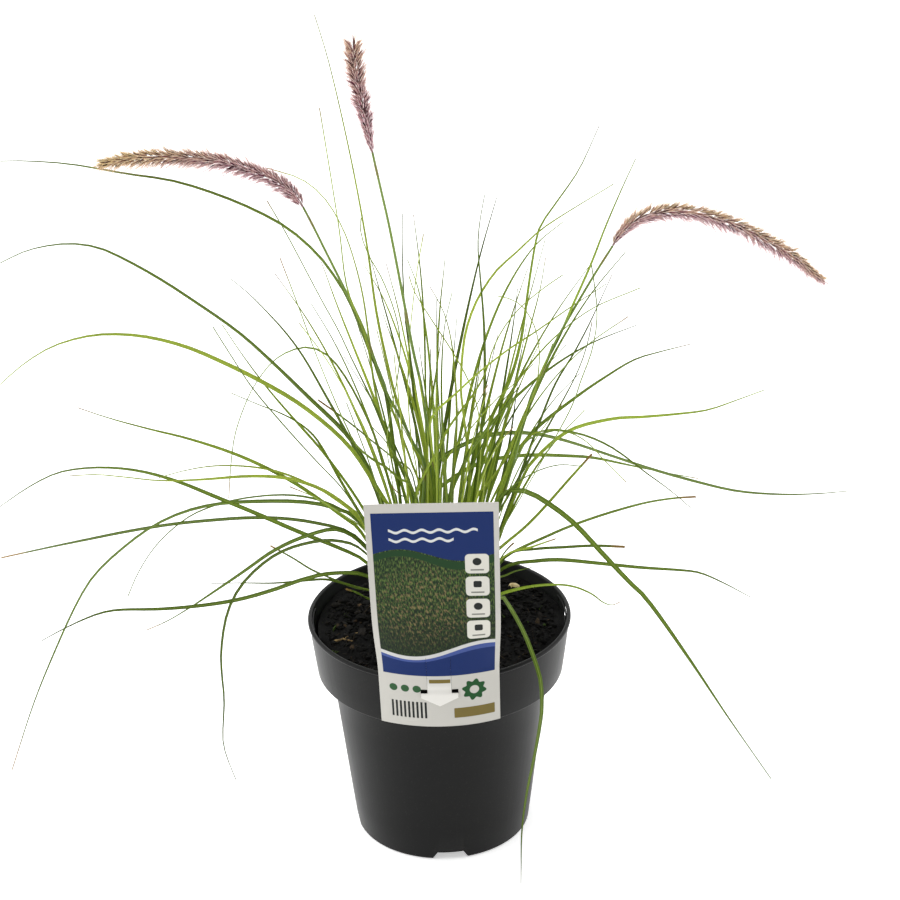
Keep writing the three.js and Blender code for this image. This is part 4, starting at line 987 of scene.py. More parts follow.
# %% [markdown]
# ## Blades
#
# A grass blade is a thin strip, folded to a shallow channel along its midrib. One unit blade is made
# by hand: a grid, its middle columns pushed down, then a thickness by extrusion. Every leaf is a
# copy of it, carried along that leaf's path. Carrying keeps the copy's cross-section square to the
# path, so the channel stays true in the tightest arch.

# %% A blade to copy
blade_columns = 4
blade_rows = 40
channel_depth = 0.2
channel_steps = {0.3: 0.6, 0.1: 0.4}
blade_thick = 0.1

blade = placed(bpy.ops.mesh.primitive_grid_add, x_subdivisions=blade_columns, y_subdivisions=blade_rows,
               size=1)
edit(blade)
for reach, share in channel_steps.items():
    pick(lambda co: abs(co.x) < reach)
    bpy.ops.transform.translate(value=(0, 0, -share * channel_depth))
bpy.ops.mesh.select_all(action="SELECT")
bpy.ops.mesh.extrude_region_move(TRANSFORM_OT_translate={"value": (0, 0, -blade_thick)})
blade_template = kept(close_up(blade))
print("faces in a blade:", len(blade_template.polygons))

# %% Carry a blade along its leaf
twist_most, twist_waves = 16, 1.3
drift_most, drift_waves = 0.2, 2.1
finest_tip, least_depth, face_lift = 0.45, 2.2, 0.15


def directions(path, share, reach=0.012):
    """The way a path runs at these shares of its length."""
    return unit(along(path, np.minimum(1, share + reach)) - along(path, np.maximum(0, share - reach)))


def blade_places(leaf, shape, phase):
    """The template's vertices on this leaf: x across, y along and z out of the blade's face."""
    path = leaf_path(leaf, leaf["turned"])
    across_share, t, lift = shape[:, 0], shape[:, 1] + 0.5, shape[:, 2]
    turn = swept(leaf, leaf["turned"], t)
    level = np.stack([-np.sin(turn), np.cos(turn), 0 * turn], axis=-1)
    ahead = directions(path, t)
    over = unit(np.cross(ahead, level))
    flank = np.cross(over, ahead)
    twist = twist_most * np.sin(tau * (twist_waves * t + phase)) * smoothstep(t, 0.1, 0.5)
    roll = np.radians(mix(leaf["foot_roll"], leaf["tip_roll"], t) + twist)[:, None]
    across = flank * np.cos(roll) + over * np.sin(roll)
    face = over * np.cos(roll) - flank * np.sin(roll)
    width = blade_width(leaf, t, tip=finest_tip)[:, None]
    depth = np.maximum(width, least_depth)
    drift = drift_most * np.sin(tau * (drift_waves * t + 2 * phase)) * smoothstep(t, 0.15, 0.4)
    middle = along(path, t) + across * drift[:, None]
    return (middle + across * width * across_share[:, None] + face * depth * (lift[:, None] + face_lift)) * mm


blade_shape = places_of(blade_template)
print("points in a blade:", len(blade_shape))

# %% [markdown]
# ## Rods
#
# Sheaths, culms, twigs, spikelets and bristles are all rods with a changing radius. One unit rod is a
# disc extruded step by step, and it is carried along a path like a blade is.

# %% A rod to copy
off_path = np.array([0.31, 1.0, 0.17])


def rod_template(sides, rows):
    rod = placed(bpy.ops.mesh.primitive_circle_add, vertices=sides, radius=1, fill_type="NGON")
    edit(rod)
    for _ in range(rows):
        bpy.ops.mesh.extrude_region_move(TRANSFORM_OT_translate={"value": (0, 0, 1 / rows)})
    return kept(close_up(rod))


def rod_places(path, shape, radius_at):
    """A rod template's vertices along a path, with its own radius at each share of the length."""
    t = shape[:, 2]
    ahead = directions(path, t)
    side = unit(np.cross(ahead, off_path))
    other = np.cross(ahead, side)
    radius = radius_at(t)[:, None]
    return (along(path, t) + side * shape[:, :1] * radius + other * shape[:, 1:2] * radius) * mm


sheath_template = rod_template(10, 10)
sheath_shape = places_of(sheath_template)
print("faces in a sheath:", len(sheath_template.polygons))

# %% [markdown]
# ## Leaf finish
#
# Each leaf has its own tone, from yellow green to deep green. Along the leaf the foot is pale where
# it was wrapped in its sheath, and the last stretch goes to straw. Across it run fine parallel veins
# with a lighter midrib. The mesh carries where each point is, along and across.

# %% Leaf finish
leaf_finish = Finish("leaf_finish", {"Roughness": 0.45, "Specular IOR Level": 0.22})
lengthwise = leaf_finish.value("lengthwise")
crosswise = leaf_finish.value("crosswise")
tone = leaf_finish.value("tone")
dry = leaf_finish.value("dry")
leaf_cloud = leaf_finish.noise(55, 3.0)
vein_waves = (crosswise * 56).wave() * 0.5
rib_off = (crosswise - 0.5).size()
deep = leaf_finish.ramp(tone, (0.0, tint(70, 90, 26)), (0.35, tint(106, 132, 38)), (0.7, tint(140, 166, 46)),
                        (1.0, tint(178, 198, 68)))
mottled = leaf_finish.blend((leaf_cloud - 0.4) * 0.8, deep, tint(70, 92, 26))
foot = leaf_finish.blend(lengthwise.rise(0.2, 0.0) * 0.45, mottled, tint(160, 178, 66))
veined = leaf_finish.blend((vein_waves + 0.5) * 0.14, foot, tint(48, 68, 20))
ribbed = leaf_finish.blend(rib_off.rise(0.09, 0.03) * 0.4, veined, tint(176, 196, 92))
dry_from = 1.04 - dry * 0.12
tip = (lengthwise - dry_from).rise(0.0, 0.05)
leaf_finish.wear("Base Color", leaf_finish.blend(tip, ribbed, tint(150, 120, 66)))
leaf_finish.wear("Roughness", leaf_cloud * 0.25 + 0.32)
leaf_finish.bump(vein_waves + rib_off.rise(0.1, 0.0), 0.06)
print("leaf finish nodes:", len(leaf_finish.tree.nodes))

# %% [markdown]
# ## Shoots
#
# Each shoot is a sheath for every leaf, which stands in the mix and wraps the leaf's foot, and the
# leaves themselves, joined as one piece. It takes the place of one shoot of the solid model.

# %% Shoots
wrap_reach, wrap_share, wrap_points = (62, 100), (0.85, 1.15), 24
wrap_thick, wrap_least, wrap_taper, wrap_power = 0.46, 0.25, 0.62, 1.6
dark_below, dark_above = 150, 300


def sheath_path(leaf):
    """A leaf's own path, started down in the mix."""
    root = leaf["root"]
    return np.concatenate([[[root["x"], root["y"], root_foot_z + 2]], leaf_path(leaf, leaf["turned"])])


def sheath_radius(thick):
    return lambda t: np.maximum(wrap_least, thick * (1 - wrap_taper * t ** wrap_power))


def shoot(root, draw):
    """Blades and sheaths of one root, joined."""
    blades, sheaths, tones, dries = [], [], [], []
    for leaf in root["leaves"]:
        blades.append(blade_places(leaf, blade_shape, next(draw)))
        path = sheath_path(leaf)
        reach = mix(*wrap_reach, next(draw)) / shares_along(path)[1]
        wrapped = along(path, np.linspace(0, reach, wrap_points))
        thick = mix(*wrap_share, next(draw)) * leaf["width"] * wrap_thick
        sheaths.append(rod_places(wrapped, sheath_shape, sheath_radius(thick)))
        low_end = smoothstep(-path[-1, 2], -dark_above, -dark_below)
        tones.append(min(1, next(draw) * mix(1.0, 0.4, low_end) + mix(0.12, 0, low_end)))
        dries.append(1.1 if leaf.get("cut") else next(draw) ** 2)
    tones, dries = np.array([tones, dries])[..., None]
    blades = many(blade_template, np.array(blades), lengthwise=blade_shape[:, 1] + 0.5,
                  crosswise=blade_shape[:, 0] + 0.5, tone=tones, dry=dries)
    sheaths = many(sheath_template, np.array(sheaths), lengthwise=sheath_shape[:, 2] * 0.2,
                   crosswise=np.arctan2(sheath_shape[:, 1], sheath_shape[:, 0]) / tau + 0.5,
                   tone=tones, dry=0.0)
    return join(sheaths, blades)


shade_draw = seeded(90125)
tillers = [root for root in roots if root["leaves"] and not root["culm"]]
for number, root in enumerate(tillers, 1):
    leaves = shoot(root, shade_draw)
    finished(leaves, f"shoot_{number:02d}", leaf_finish, "leaf_green", f"tiller_{number:02d}")
print("shoots:", len(tillers))

# %% [markdown]
# ## Culms
#
# A culm is a thin, stiff, jointed stem. It swells a little at each joint, where the tint turns red
# brown, and a leaf sheath wraps its lower part. The stem tapers up to the neck of the flower head.

# %% Form and finish of a culm
culm_joints = (0.34, 0.66, 0.965)
joint_reach, joint_bulge = 0.006, 0.32
neck_in_head = 0.4
culm_template = rod_template(10, 72)
culm_shape = places_of(culm_template)


def joint_swell(t):
    return sum(np.exp(-((t - joint) / joint_reach) ** 2) for joint in culm_joints)


def culm_radius_at(t):
    return mix(culm_radius + 0.1, culm_radius - 0.55, t) * (1 + joint_bulge * joint_swell(t))


culm_finish = Finish("culm_finish", {"Roughness": 0.4, "Specular IOR Level": 0.35})
culm_along = culm_finish.value("lengthwise")
culm_joint = culm_finish.value("joint")
culm_green = culm_finish.ramp(culm_along, (0.0, tint(124, 150, 56)), (0.5, tint(112, 140, 54)),
                              (0.86, tint(122, 148, 56)), (1.0, tint(116, 138, 58)))
culm_cloud = culm_finish.noise(90)
culm_shade = culm_finish.blend(culm_cloud * 0.5, culm_green, tint(70, 96, 36))
culm_finish.wear("Base Color", culm_finish.blend(culm_joint, culm_shade, tint(132, 78, 48)))
print("joints on a culm:", len(culm_joints))

# %% Culms
for number, culm in enumerate(culms, 1):
    path = culm["stem_path"].copy()
    path[-1] -= unit(path[-1] - path[-2]) * neck_in_head
    places = rod_places(path, culm_shape, culm_radius_at)
    stem = many(culm_template, places[None], lengthwise=culm_shape[:, 2],
                joint=np.minimum(1, joint_swell(culm_shape[:, 2]) * 1.4))
    finished(stem, f"culm_stem_{number}", culm_finish, "culm_green", f"culm_{number}")
    if culm["root"]["leaves"]:
        leaves = shoot(culm["root"], shade_draw)
        finished(leaves, f"culm_leaf_{number}", leaf_finish, "leaf_green", f"culm_{number}")

# %% [markdown]
# ## Flower heads
#
# A head is a bottle brush. Dark plum spikelets stand all round a thin axis in a spiral and lean
# forward along it, so they read as a herringbone. Two pale scales lie along each spikelet, and a tuft
# of fine bristles wraps it, with a few long ones that stick out. The colour turns from mauve at the
# foot to straw at the tip, and on the third head from mauve below to straw above.

# %% Templates and shapes of the heads
spikelets_per_mm, bristle_count, long_count = 1.7, 8, 3
spikelet_radius, scale_radius = 0.76, 0.32
golden_turn = 2.39996
spikelet_template, scale_template = rod_template(6, 4), rod_template(4, 3)
bristle_template, axis_template = rod_template(3, 3), rod_template(7, 40)
spikelet_shape, scale_shape = places_of(spikelet_template), places_of(scale_template)
bristle_shape, axis_shape = places_of(bristle_template), places_of(axis_template)
head_forms = [
    {"foot": 0.08, "tip_size": 0.35, "straw_along": 0.85, "straw_above": 0.15, "open_foot": 8},
    {"foot": 0.4, "tip_size": 1.1, "straw_along": 0.5, "straw_above": 0.0, "open_foot": 0},
    {"foot": 0.16, "tip_size": 0.3, "straw_along": 0.15, "straw_above": 0.62, "open_foot": 0},
]


def axis_thickness(t):
    return 0.8 * np.sqrt(np.clip((1.04 - t) / 0.5, 0.03, 1))


def spindle(s):
    return np.interp(s, [0, 0.25, 0.55, 0.8, 1], [0.3, 1, 0.9, 0.5, 0.05])


def grown_from(starts, ways, lengths, radii, shape, profile, droop):
    """Copies of a rod template that start at places and run in directions, bent outwards by a little."""
    t = shape[:, 2]
    side = unit(np.cross(ways, np.array([0.2, 0.35, 1.0])))
    other = np.cross(ways, side)
    radius = radii * profile(t)
    run = starts[:, None] + ways[:, None] * (lengths[:, None] * t)[..., None]
    run = run + droop[:, None] * (lengths[:, None] * t ** 2)[..., None]
    return (run + side[:, None] * (radius * shape[:, 0])[..., None]
            + other[:, None] * (radius * shape[:, 1])[..., None]) * mm


print("points in a spikelet and a bristle:", len(spikelet_shape), len(bristle_shape))

# %% Finishes of the heads
head_finish = Finish("head_finish", {"Roughness": 0.55, "Specular IOR Level": 0.25})
head_tone, head_straw = head_finish.value("tone"), head_finish.value("straw")
plum = head_finish.ramp(head_tone, (0.0, tint(52, 20, 34)), (0.6, tint(96, 44, 64)),
                        (1.0, tint(144, 84, 102)))
straw_brown = head_finish.ramp(head_tone, (0.0, tint(60, 40, 34)), (0.6, tint(98, 70, 52)),
                               (1.0, tint(156, 128, 88)))
scale_pale = head_finish.blend(head_straw, tint(236, 212, 216), tint(244, 226, 178))
spikelet_colour = head_finish.blend(head_straw, plum, straw_brown)
head_finish.wear("Base Color", head_finish.blend(head_finish.value("pale"), spikelet_colour, scale_pale))

bristle_finish = Finish("bristle_finish", {"Roughness": 0.5, "Specular IOR Level": 0.3})
outward = bristle_finish.value("outward")
bristle_mauve = bristle_finish.ramp(outward, (0.0, tint(156, 100, 118)), (0.5, tint(206, 160, 168)),
                                    (1.0, tint(230, 190, 184)))
bristle_gold = bristle_finish.ramp(outward, (0.0, tint(176, 130, 94)), (0.5, tint(222, 184, 130)),
                                   (1.0, tint(238, 210, 152)))
bristle_straw = bristle_finish.value("straw")
bristle_finish.wear("Base Color", bristle_finish.blend(bristle_straw, bristle_mauve, bristle_gold))
print("finishes of a head:", head_finish.material.name, bristle_finish.material.name)

# %% Grow the heads
def head_pieces(path, form, seed):
    random = np.random.default_rng(seed)
    length = shares_along(path)[1]
    count = round(spikelets_per_mm * (length + 20))
    k = np.arange(count)
    t = mix(0.01, 1 - 0.85 * spikelet_length / length, (k + 0.5) / count)
    place, ahead = along(path, t), directions(path, t, 0.02)
    side = unit(np.cross(ahead, np.array([0.0, 1.0, 0.001])))
    other = np.cross(ahead, side)
    angle = (golden_turn * k + 0.5 * random.random(count))[:, None]
    out = side * np.cos(angle) + other * np.sin(angle)
    full = mix(0.15, 1, smoothstep(t, -0.04, form["foot"])) * mix(1, form["tip_size"], smoothstep(t, 0.72, 1))
    lean = mix(0.36, 0.66, random.random(count)) * full + 0.25 * (k < form["open_foot"])
    way = unit(out * lean[:, None] + ahead * 0.9 + 0.08 * random.normal(size=(count, 3)))
    size = spikelet_length * mix(0.82, 1.2, random.random(count)) * mix(0.7, 1, full)
    start = place + out * (0.5 + 1.3 * full)[:, None]
    straw = np.clip(form["straw_along"] * smoothstep(t, 0.25, 0.95) + form["straw_above"] * (0.3 + out[:, 2])
                    + 0.25 * (random.random(count) - 0.5), 0, 1)
    lengths = size * mix(0.46, 0.66, random.random(count))
    places = grown_from(start + way * 0.8, way, lengths, spikelet_radius, spikelet_shape, spindle, out * 0.05)
    bodies = many(spikelet_template, places, tone=random.random((count, 1)), straw=0.6 * straw[:, None] ** 2,
                  pale=0.0)
    flank = np.cross(way, out)
    scales = []
    for hand in (-1, 1):
        lengths = size * mix(0.6, 0.9, random.random(count))
        places = grown_from(start + flank * 0.55 * hand + out * 0.25, unit(way + flank * 0.1 * hand), lengths,
                            scale_radius, scale_shape, spindle, out * 0.08)
        scales.append(many(scale_template, places, tone=0.5, straw=straw[:, None], pale=1.0))
    places = rod_places(path, axis_shape, axis_thickness)
    axis = many(axis_template, places[None], tone=0.6, straw=0.3, pale=0.2)

    def bristles(per_spikelet, spread, low, high, radius, open_by):
        rows = np.repeat(k, per_spikelet)
        lower = np.clip(-out[rows, 2], 0, 1)
        opened = out[rows] * (open_by + 0.14 * lower)[:, None]
        direction = unit(way[rows] + opened + spread * random.normal(size=(len(rows), 3)))
        lengths = size[rows] * mix(low, high, random.random(len(rows)) ** 1.3) * (1 + 0.25 * lower)
        return many(bristle_template, grown_from(start[rows], direction, lengths, radius, bristle_shape,
                                                 lambda s: 1 - 0.7 * s, out[rows] * 0.08),
                    straw=straw[rows][:, None], outward=bristle_shape[:, 2])

    return (join(axis, *scales, bodies), join(bristles(bristle_count, 0.14, 0.7, 1.1, 0.13, 0.0),
                                              bristles(long_count, 0.12, 1.0, 1.6, 0.14, 0.02)))


for number, (culm, form) in enumerate(zip(culms, head_forms), 1):
    head, bristles = head_pieces(culm["head_path"], form, 700 + number)
    finished(head, f"head_spikelets_{number}", head_finish, "flower_bristle", f"flower_head_{number}")
    finished(bristles, f"head_bristles_{number}", bristle_finish, "flower_bristle", f"flower_head_{number}")

# %% [markdown]
# ## Pot
#
# A nursery pot is moulded in one piece: a tapered body, a wide collar with a beaded rim, four slots
# for labels and four drain notches in the foot. It is turned by hand here. A filled disc is extruded
# ring by ring through an outline, out and up the body, over the rim and down inside. The slots and
# notches are then cut with blocks, which are made and shaped in the same way.

# %% Turn an outline
def turned(outline, sides):
    """Extrude a disc through an outline of (radius, height) points, and close it at the last one."""
    radius, z = outline[0]
    piece = placed(bpy.ops.mesh.primitive_circle_add, vertices=sides, radius=radius * mm, fill_type="NGON",
                   location=(0, 0, z * mm))
    bpy.ops.object.transform_apply(location=True, rotation=False, scale=False)
    edit(piece)
    for next_radius, next_z in outline[1:]:
        bpy.ops.mesh.extrude_region_move(TRANSFORM_OT_translate={"value": (0, 0, (next_z - z) * mm)})
        share = next_radius / radius
        bpy.ops.transform.resize(value=(share, share, 1), center_override=(0, 0, next_z * mm))
        radius, z = next_radius, next_z
    return close_up(piece)


def arc(centre, radius, start, end, count=6):
    """Points of a round stretch of an outline, between two angles in degrees."""
    return [(centre[0] + radius * cos(radians(angle)), centre[1] + radius * sin(radians(angle)))
            for angle in np.linspace(start, end, count)]


print("a quarter round of 1 mm:", [(round(x, 2), round(z, 2)) for x, z in arc((0, 0), 1, 0, 90, 4)])

# %% The pot's outline
pot_sides = 160
foot_round, shoulder_round, collar_round = 1.6, 1.6, 1.3
bead_round, lip_round = 1.5, 0.9
pot_outline = (
    [(foot_radius - 6, 0)] + arc((foot_radius - foot_round, foot_round), foot_round, -90, -8)
    + [(mix(foot_radius, shoulder_radius, share), share * (collar_foot_z - 3))
       for share in (0.2, 0.4, 0.6, 0.8)]
    + arc((shoulder_radius + shoulder_round, collar_foot_z - 3.4), shoulder_round, 174, 100, 5)
    + arc((collar_foot_radius - collar_round, collar_foot_z + 1.1), collar_round, -84, -4, 6)
    + [(mix(collar_foot_radius, rim_radius - 1, share), mix(collar_foot_z, pot_height - rim_bead, share))
       for share in (0.35, 0.7, 1)]
    + arc((rim_radius - bead_round, pot_height - bead_round), bead_round, -38, 90, 8)
    + arc((rim_radius - rim_bead + lip_round, pot_height - lip_round), lip_round, 90, 176, 5)
    + [(rim_radius - rim_bead - 0.4, pot_height - rim_bead),
       (collar_foot_radius - wall, collar_foot_z + wall + 1.2),
       (collar_foot_radius - wall - 1, collar_foot_z + 1.6), (shoulder_radius - wall, collar_foot_z - 2),
       (foot_radius - wall + 0.1, wall + 0.8), (foot_radius - wall - 0.8, wall)])
pot = turned(pot_outline, pot_sides)
print("turned rings:", len(pot_outline))

# %% Slots and drain notches
def cut(piece, cutter, operation="DIFFERENCE"):
    """Apply a Boolean with another piece, which is then cleared away."""
    modified(piece, "BOOLEAN", object=cutter, operation=operation, solver="EXACT")
    bpy.data.objects.remove(cutter)


def turned_about(piece, turn):
    """Turn a piece about the pot's axis."""
    piece.matrix_world = Matrix.Rotation(radians(turn), 4, "Z") @ piece.matrix_world
    alone(piece)
    bpy.ops.object.transform_apply(location=True, rotation=True, scale=True)
    return piece


def upright_block(outline, near, far, turn=0.0):
    """A block with its outline in X and Z, from one Y to another, turned about the pot's axis."""
    upright = placed(bpy.ops.mesh.primitive_circle_add, vertices=len(outline), radius=1, fill_type="NGON")
    put(upright.data, np.array([(x, near, z) for x, z in outline]) * mm)
    edit(upright)
    bpy.ops.mesh.extrude_region_move(TRANSFORM_OT_translate={"value": (0, (far - near) * mm, 0)})
    return turned_about(close_up(upright), turn)


slot_view = [(rim_radius - 3 * rim_bead, slot_low), (rim_radius + rim_bead, slot_low),
             (rim_radius + rim_bead, slot_high - 2 * slot_drop), (rim_radius - rim_bead, slot_high),
             (rim_radius - 3 * rim_bead, slot_high)]
notch_foot_width, notch_top_width, notch_height, notch_depth, notch_flare = 26, 17.5, 7, 14, 1.2
notch_view = [(-notch_foot_width / 2 - notch_flare, -2), (notch_foot_width / 2 + notch_flare, -2),
              (notch_top_width / 2, notch_height), (-notch_top_width / 2, notch_height)]
quarter_turns = [pot_turn + 90 * k for k in range(4)]
for turn in quarter_turns:
    cut(pot, upright_block(slot_view, -slot_width / 2, slot_width / 2, turn))
    cut(pot, upright_block(notch_view, notch_depth - foot_radius, -foot_radius - 6, turn))
print("pot faces with its slots and notches:", len(pot.data.polygons))

# %% Raised frames round the slots
def block(width, depth, height, place, turn=0.0):
    """A block with its middle at a place, in millimetres, turned about the pot's axis."""
    cube = placed(bpy.ops.mesh.primitive_cube_add, size=1)
    cube.matrix_world = (Matrix.Translation(Vector(place) * mm)
                         @ Matrix.Diagonal((width * mm, depth * mm, height * mm, 1)))
    return turned_about(cube, turn)


frame_from, frame_to, frame_line, frame_high = -11, 20, 0.8, 5.4
frame_deep, frame_piece, frame_pitch, frame_top = 1.1, 2.8, 2.5, 2.9
frame_radius = 90
inner_radius = rim_radius - rim_bead - 0.5
extras = []
for turn, way in zip(quarter_turns, (1, 1, -1, -1)):
    for y in (frame_from, frame_to):
        extras.append(block(frame_deep, frame_line, frame_high, (inner_radius, 0, pot_height - frame_high),
                            turn + way * degrees(y / frame_radius)))
    for y in np.arange(frame_from, frame_to, frame_pitch):
        extras.append(block(frame_deep, frame_piece, frame_line, (inner_radius, 0, pot_height - frame_top),
                            turn + way * degrees((y + 1.2) / frame_radius)))
pot = join(*extras, pot)
modified(pot, "BEVEL", width=0.35 * mm, segments=2, limit_method="ANGLE", angle_limit=radians(50))
smooth(pot, 35)
print("pot faces:", len(pot.data.polygons))

# %% [markdown]
# ## Pot finish
#
# Recycled black plastic is never one black: it is a dark grey with fine specks, faint flow lines
# down from the rim, and its gloss is low and a little uneven. The inner wall is painted lighter than
# the outer one, as painted light that lifts the shade inside the pot. It is told from the outer wall
# by its distance from the axis, less the collar's slope.

# %% Pot finish
collar_slope = (rim_radius - 1 - collar_foot_radius) / (pot_height - rim_bead - collar_foot_z)
inside_reach = collar_foot_radius - wall + 0.8 - collar_slope * collar_foot_z
pot_finish = Finish("pot_finish", {"Specular IOR Level": 0.145})
pot_place = pot_finish.place()
pot_x, pot_y, pot_z = [pot_finish.node("ShaderNodeSeparateXYZ", {}, {0: pot_place}, output=axis)
                       for axis in (0, 1, 2)]
pot_cloud = pot_finish.noise(14, 4.0)
pot_speck = pot_finish.noise(900, 2.0)
pot_round = pot_y.sum("ARCTAN2", pot_y, pot_x)
pot_flow = pot_finish.noise(1.0, 3.0, pot_finish.point(pot_round * 46, pot_z * 9))
pot_base = pot_finish.blend(pot_cloud.rise(0.3, 0.7), tint(5, 6, 6), tint(9, 9, 8))
pot_specked = pot_finish.blend(pot_speck.rise(0.62, 0.75) * 0.3, pot_base, tint(50, 49, 45))
pot_flowed = pot_finish.blend(pot_flow.rise(0.6, 0.8) * 0.2, pot_specked, tint(28, 28, 27))
pot_reach = (pot_x * pot_x + pot_y * pot_y) ** 0.5 - pot_z * collar_slope
# Painted light: the inner wall gets a lighter grey, to lift the shade that falls inside the pot.
pot_inside_painted_light = pot_reach.rise(inside_reach * mm, (inside_reach - 0.5) * mm) * pot_z.rise(0.13, 0.14)
pot_finish.wear("Base Color", pot_finish.blend(pot_inside_painted_light, pot_flowed, tint(30, 31, 31)))
pot_finish.wear("Roughness", pot_cloud * 0.16 + pot_flow * 0.1 + 0.26)
pot_finish.bump(pot_speck * 0.5 + pot_flow * 0.5, 0.05)
finished(pot, "nursery_pot", pot_finish, "pot_plastic", "pot")

# %% [markdown]
# ## Potting mix
#
# The mix is composted bark: a dark, crumbly, mounded bed. Its bed is turned like the pot, then its top
# is lifted by the solid model's own formula and some finer lumps. Thousands of bark chips, each a copy
# of a rough little stone at its own size and angle, lie on it, with a few tufts of moss and a scatter
# of fibres.

# %% The bed of mix
def mix_top(radius, turn):
    """The height of the mix at a radius and a turn about the axis."""
    mound = mix_wall_z + mix_mound * (1 - (radius / mix_reach) ** 2)
    lumps = (np.sin(0.31 * radius + 3 * turn) * np.cos(5 * turn - 0.17 * radius)
             + 0.7 * np.sin(9 * turn + 0.23 * radius) * np.sin(0.12 * radius))
    return mound + mix_lump * lumps * smoothstep(radius, 4, 20)


mix_spokes, mix_rings = 120, 44
crumb_height = 0.7
wall_foot_z = collar_foot_z + wall + 1
inner_wall = (collar_foot_radius - wall - 0.6, rim_radius - rim_bead - 1)
mix_edge = mix(*inner_wall, (mix_wall_z - wall_foot_z) / (pot_height - rim_bead - wall_foot_z))


def shrinkage(turn):
    """The mix has dried and drawn back a little from the wall on one side."""
    return 1 - mix_shrink / mix_edge * np.maximum(0, -np.cos(turn - 0.4))


bed_outline = ([(foot_radius - wall - 3, wall + gap), (foot_radius - wall - 1.4, wall + gap + 1),
                (shoulder_radius - wall - gap - 0.25, collar_foot_z - 2.6),
                (collar_foot_radius - wall - gap - 0.6, collar_foot_z + wall + 2.2)]
               + [(mix_edge * (1 - i / mix_rings) + 0.4, mix_wall_z) for i in range(mix_rings)])
bed = turned(bed_outline, mix_spokes)
bed_places = places_of(bed.data) / mm
bed_radius = np.hypot(bed_places[:, 0], bed_places[:, 1])
bed_turn = np.arctan2(bed_places[:, 1], bed_places[:, 0])
crumbs = (np.sin(0.9 * bed_places[:, 0] + 2 * np.sin(0.5 * bed_places[:, 1]))
          * np.sin(1.1 * bed_places[:, 1] + 2 * np.sin(0.43 * bed_places[:, 0])))
top = bed_places[:, 2] > mix_wall_z - 0.5
shrunk = np.where(top, shrinkage(bed_turn), 1)
bed_places[:, :2] *= shrunk[:, None]
bed_radius = bed_radius * shrunk
bed_places[:, 2] = np.where(top, mix_top(bed_radius, bed_turn) + crumb_height * crumbs, bed_places[:, 2])
put(bed.data, bed_places * mm)
smooth(bed, 60)
print("bed faces:", len(bed.data.polygons))

# %% Strew over the bed
strewn_reach, strewn_flat = 86.5, 0.55
random = np.random.default_rng(5)


def turned_at_random(count):
    """A random turn for each copy, as three directions that stand square to each other."""
    first = unit(random.normal(size=(count, 3)))
    second = unit(np.cross(first, random.normal(size=(count, 3))))
    return np.stack([first, second, np.cross(first, second)], axis=1)


def spots_on_bed(spread):
    """Random places on the bed, each within the pot's wall."""
    radius = np.sqrt(random.random(len(spread))) * (strewn_reach - spread)
    turn = tau * random.random(len(spread))
    return radius * shrinkage(turn), turn


def scattered(template, sizes, lift, spots=None):
    """Copies of a template strewn over the bed, in metres."""
    shape = places_of(template)
    spread = sizes.max(axis=1)
    radius, turn = spots or spots_on_bed(spread)
    frames = turned_at_random(len(sizes))
    frames[:, :, 2] *= strewn_flat
    scaled = shape[None] * sizes[:, None]
    height = mix_top(radius, turn) + lift(spread)
    middle = np.stack([radius * np.cos(turn), radius * np.sin(turn), height], axis=-1)
    return (middle[:, None] + np.einsum("nij,njk->nik", scaled, frames)) * mm


print("the bed shrinks to", round(shrinkage(0.4 + pi), 3), "of its radius where it is driest")

# %% Bark chips
chip_count, chip_spread, chip_range = 3400, 0.42, (0.3, 5.2)
chip_least, chip_most = [1.2, 0.8, 0.4], [2.4, 1.5, 0.9]
mossy_above = 0.99


def stone_template():
    stone = placed(bpy.ops.mesh.primitive_ico_sphere_add, subdivisions=1, radius=1)
    edit(stone)
    pick(lambda co: co.x > 0.2 and co.z > 0)
    bpy.ops.transform.translate(value=(0.35, 0.1, -0.25))
    pick(lambda co: co.y < -0.4)
    bpy.ops.transform.resize(value=(0.6, 1.2, 0.9))
    return kept(close_up(stone))


stone = stone_template()
chip_size = np.exp(random.normal(0.0, chip_spread, size=(chip_count, 1)))
chip_sizes = np.clip(chip_size * random.uniform(chip_least, chip_most, size=(chip_count, 3)), *chip_range)
chip_places = scattered(stone, chip_sizes, lambda spread: 0.25 * spread)
chips = many(stone, chip_places, tone=random.random((chip_count, 1)),
             green=random.random((chip_count, 1)) > mossy_above)
print("chips:", chip_count, "widest:", round(chip_sizes.max(), 1))

# %% Moss and fibres
moss_pixels, moss_each, moss_stray = [(346, 615), (545, 622), (503, 618), (335, 650), (540, 606)], 14, 1.2
moss_range, moss_lift, moss_level = (0.3, 0.9), 0.8, 3
moss_spots = [place_at_level(pixel, mix_wall_z + moss_level)[:2] for pixel in moss_pixels]
moss_spots = np.repeat(moss_spots, moss_each, axis=0)
moss_spots += random.normal(0, moss_stray, size=moss_spots.shape)
moss_sizes = random.uniform(*moss_range, size=(len(moss_spots), 3))
moss_polar = np.hypot(*moss_spots.T), np.arctan2(moss_spots[:, 1], moss_spots[:, 0])
moss = many(stone, scattered(stone, moss_sizes, lambda spread: moss_lift, moss_polar), tone=0.5, green=1.0)

fibre_count, fibre_lift = 200, 0.9
fibre_least, fibre_most = [0.12, 0.12, 4], [0.28, 0.28, 12]
fibre_sizes = random.uniform(fibre_least, fibre_most, size=(fibre_count, 3))
fibre_places = scattered(bristle_template, fibre_sizes, lambda spread: fibre_lift)
fibres = many(bristle_template, fibre_places, tone=0.9 + 0.1 * random.random((fibre_count, 1)), green=0.0)
for piece in (chips, fibres):
    alone(piece)
    bpy.ops.object.shade_flat()
for name in ("tone", "green"):
    carried(bed.data, name, np.zeros(len(bed.data.vertices)))
print("tufts of moss:", len(moss_spots), "fibres:", fibre_count)

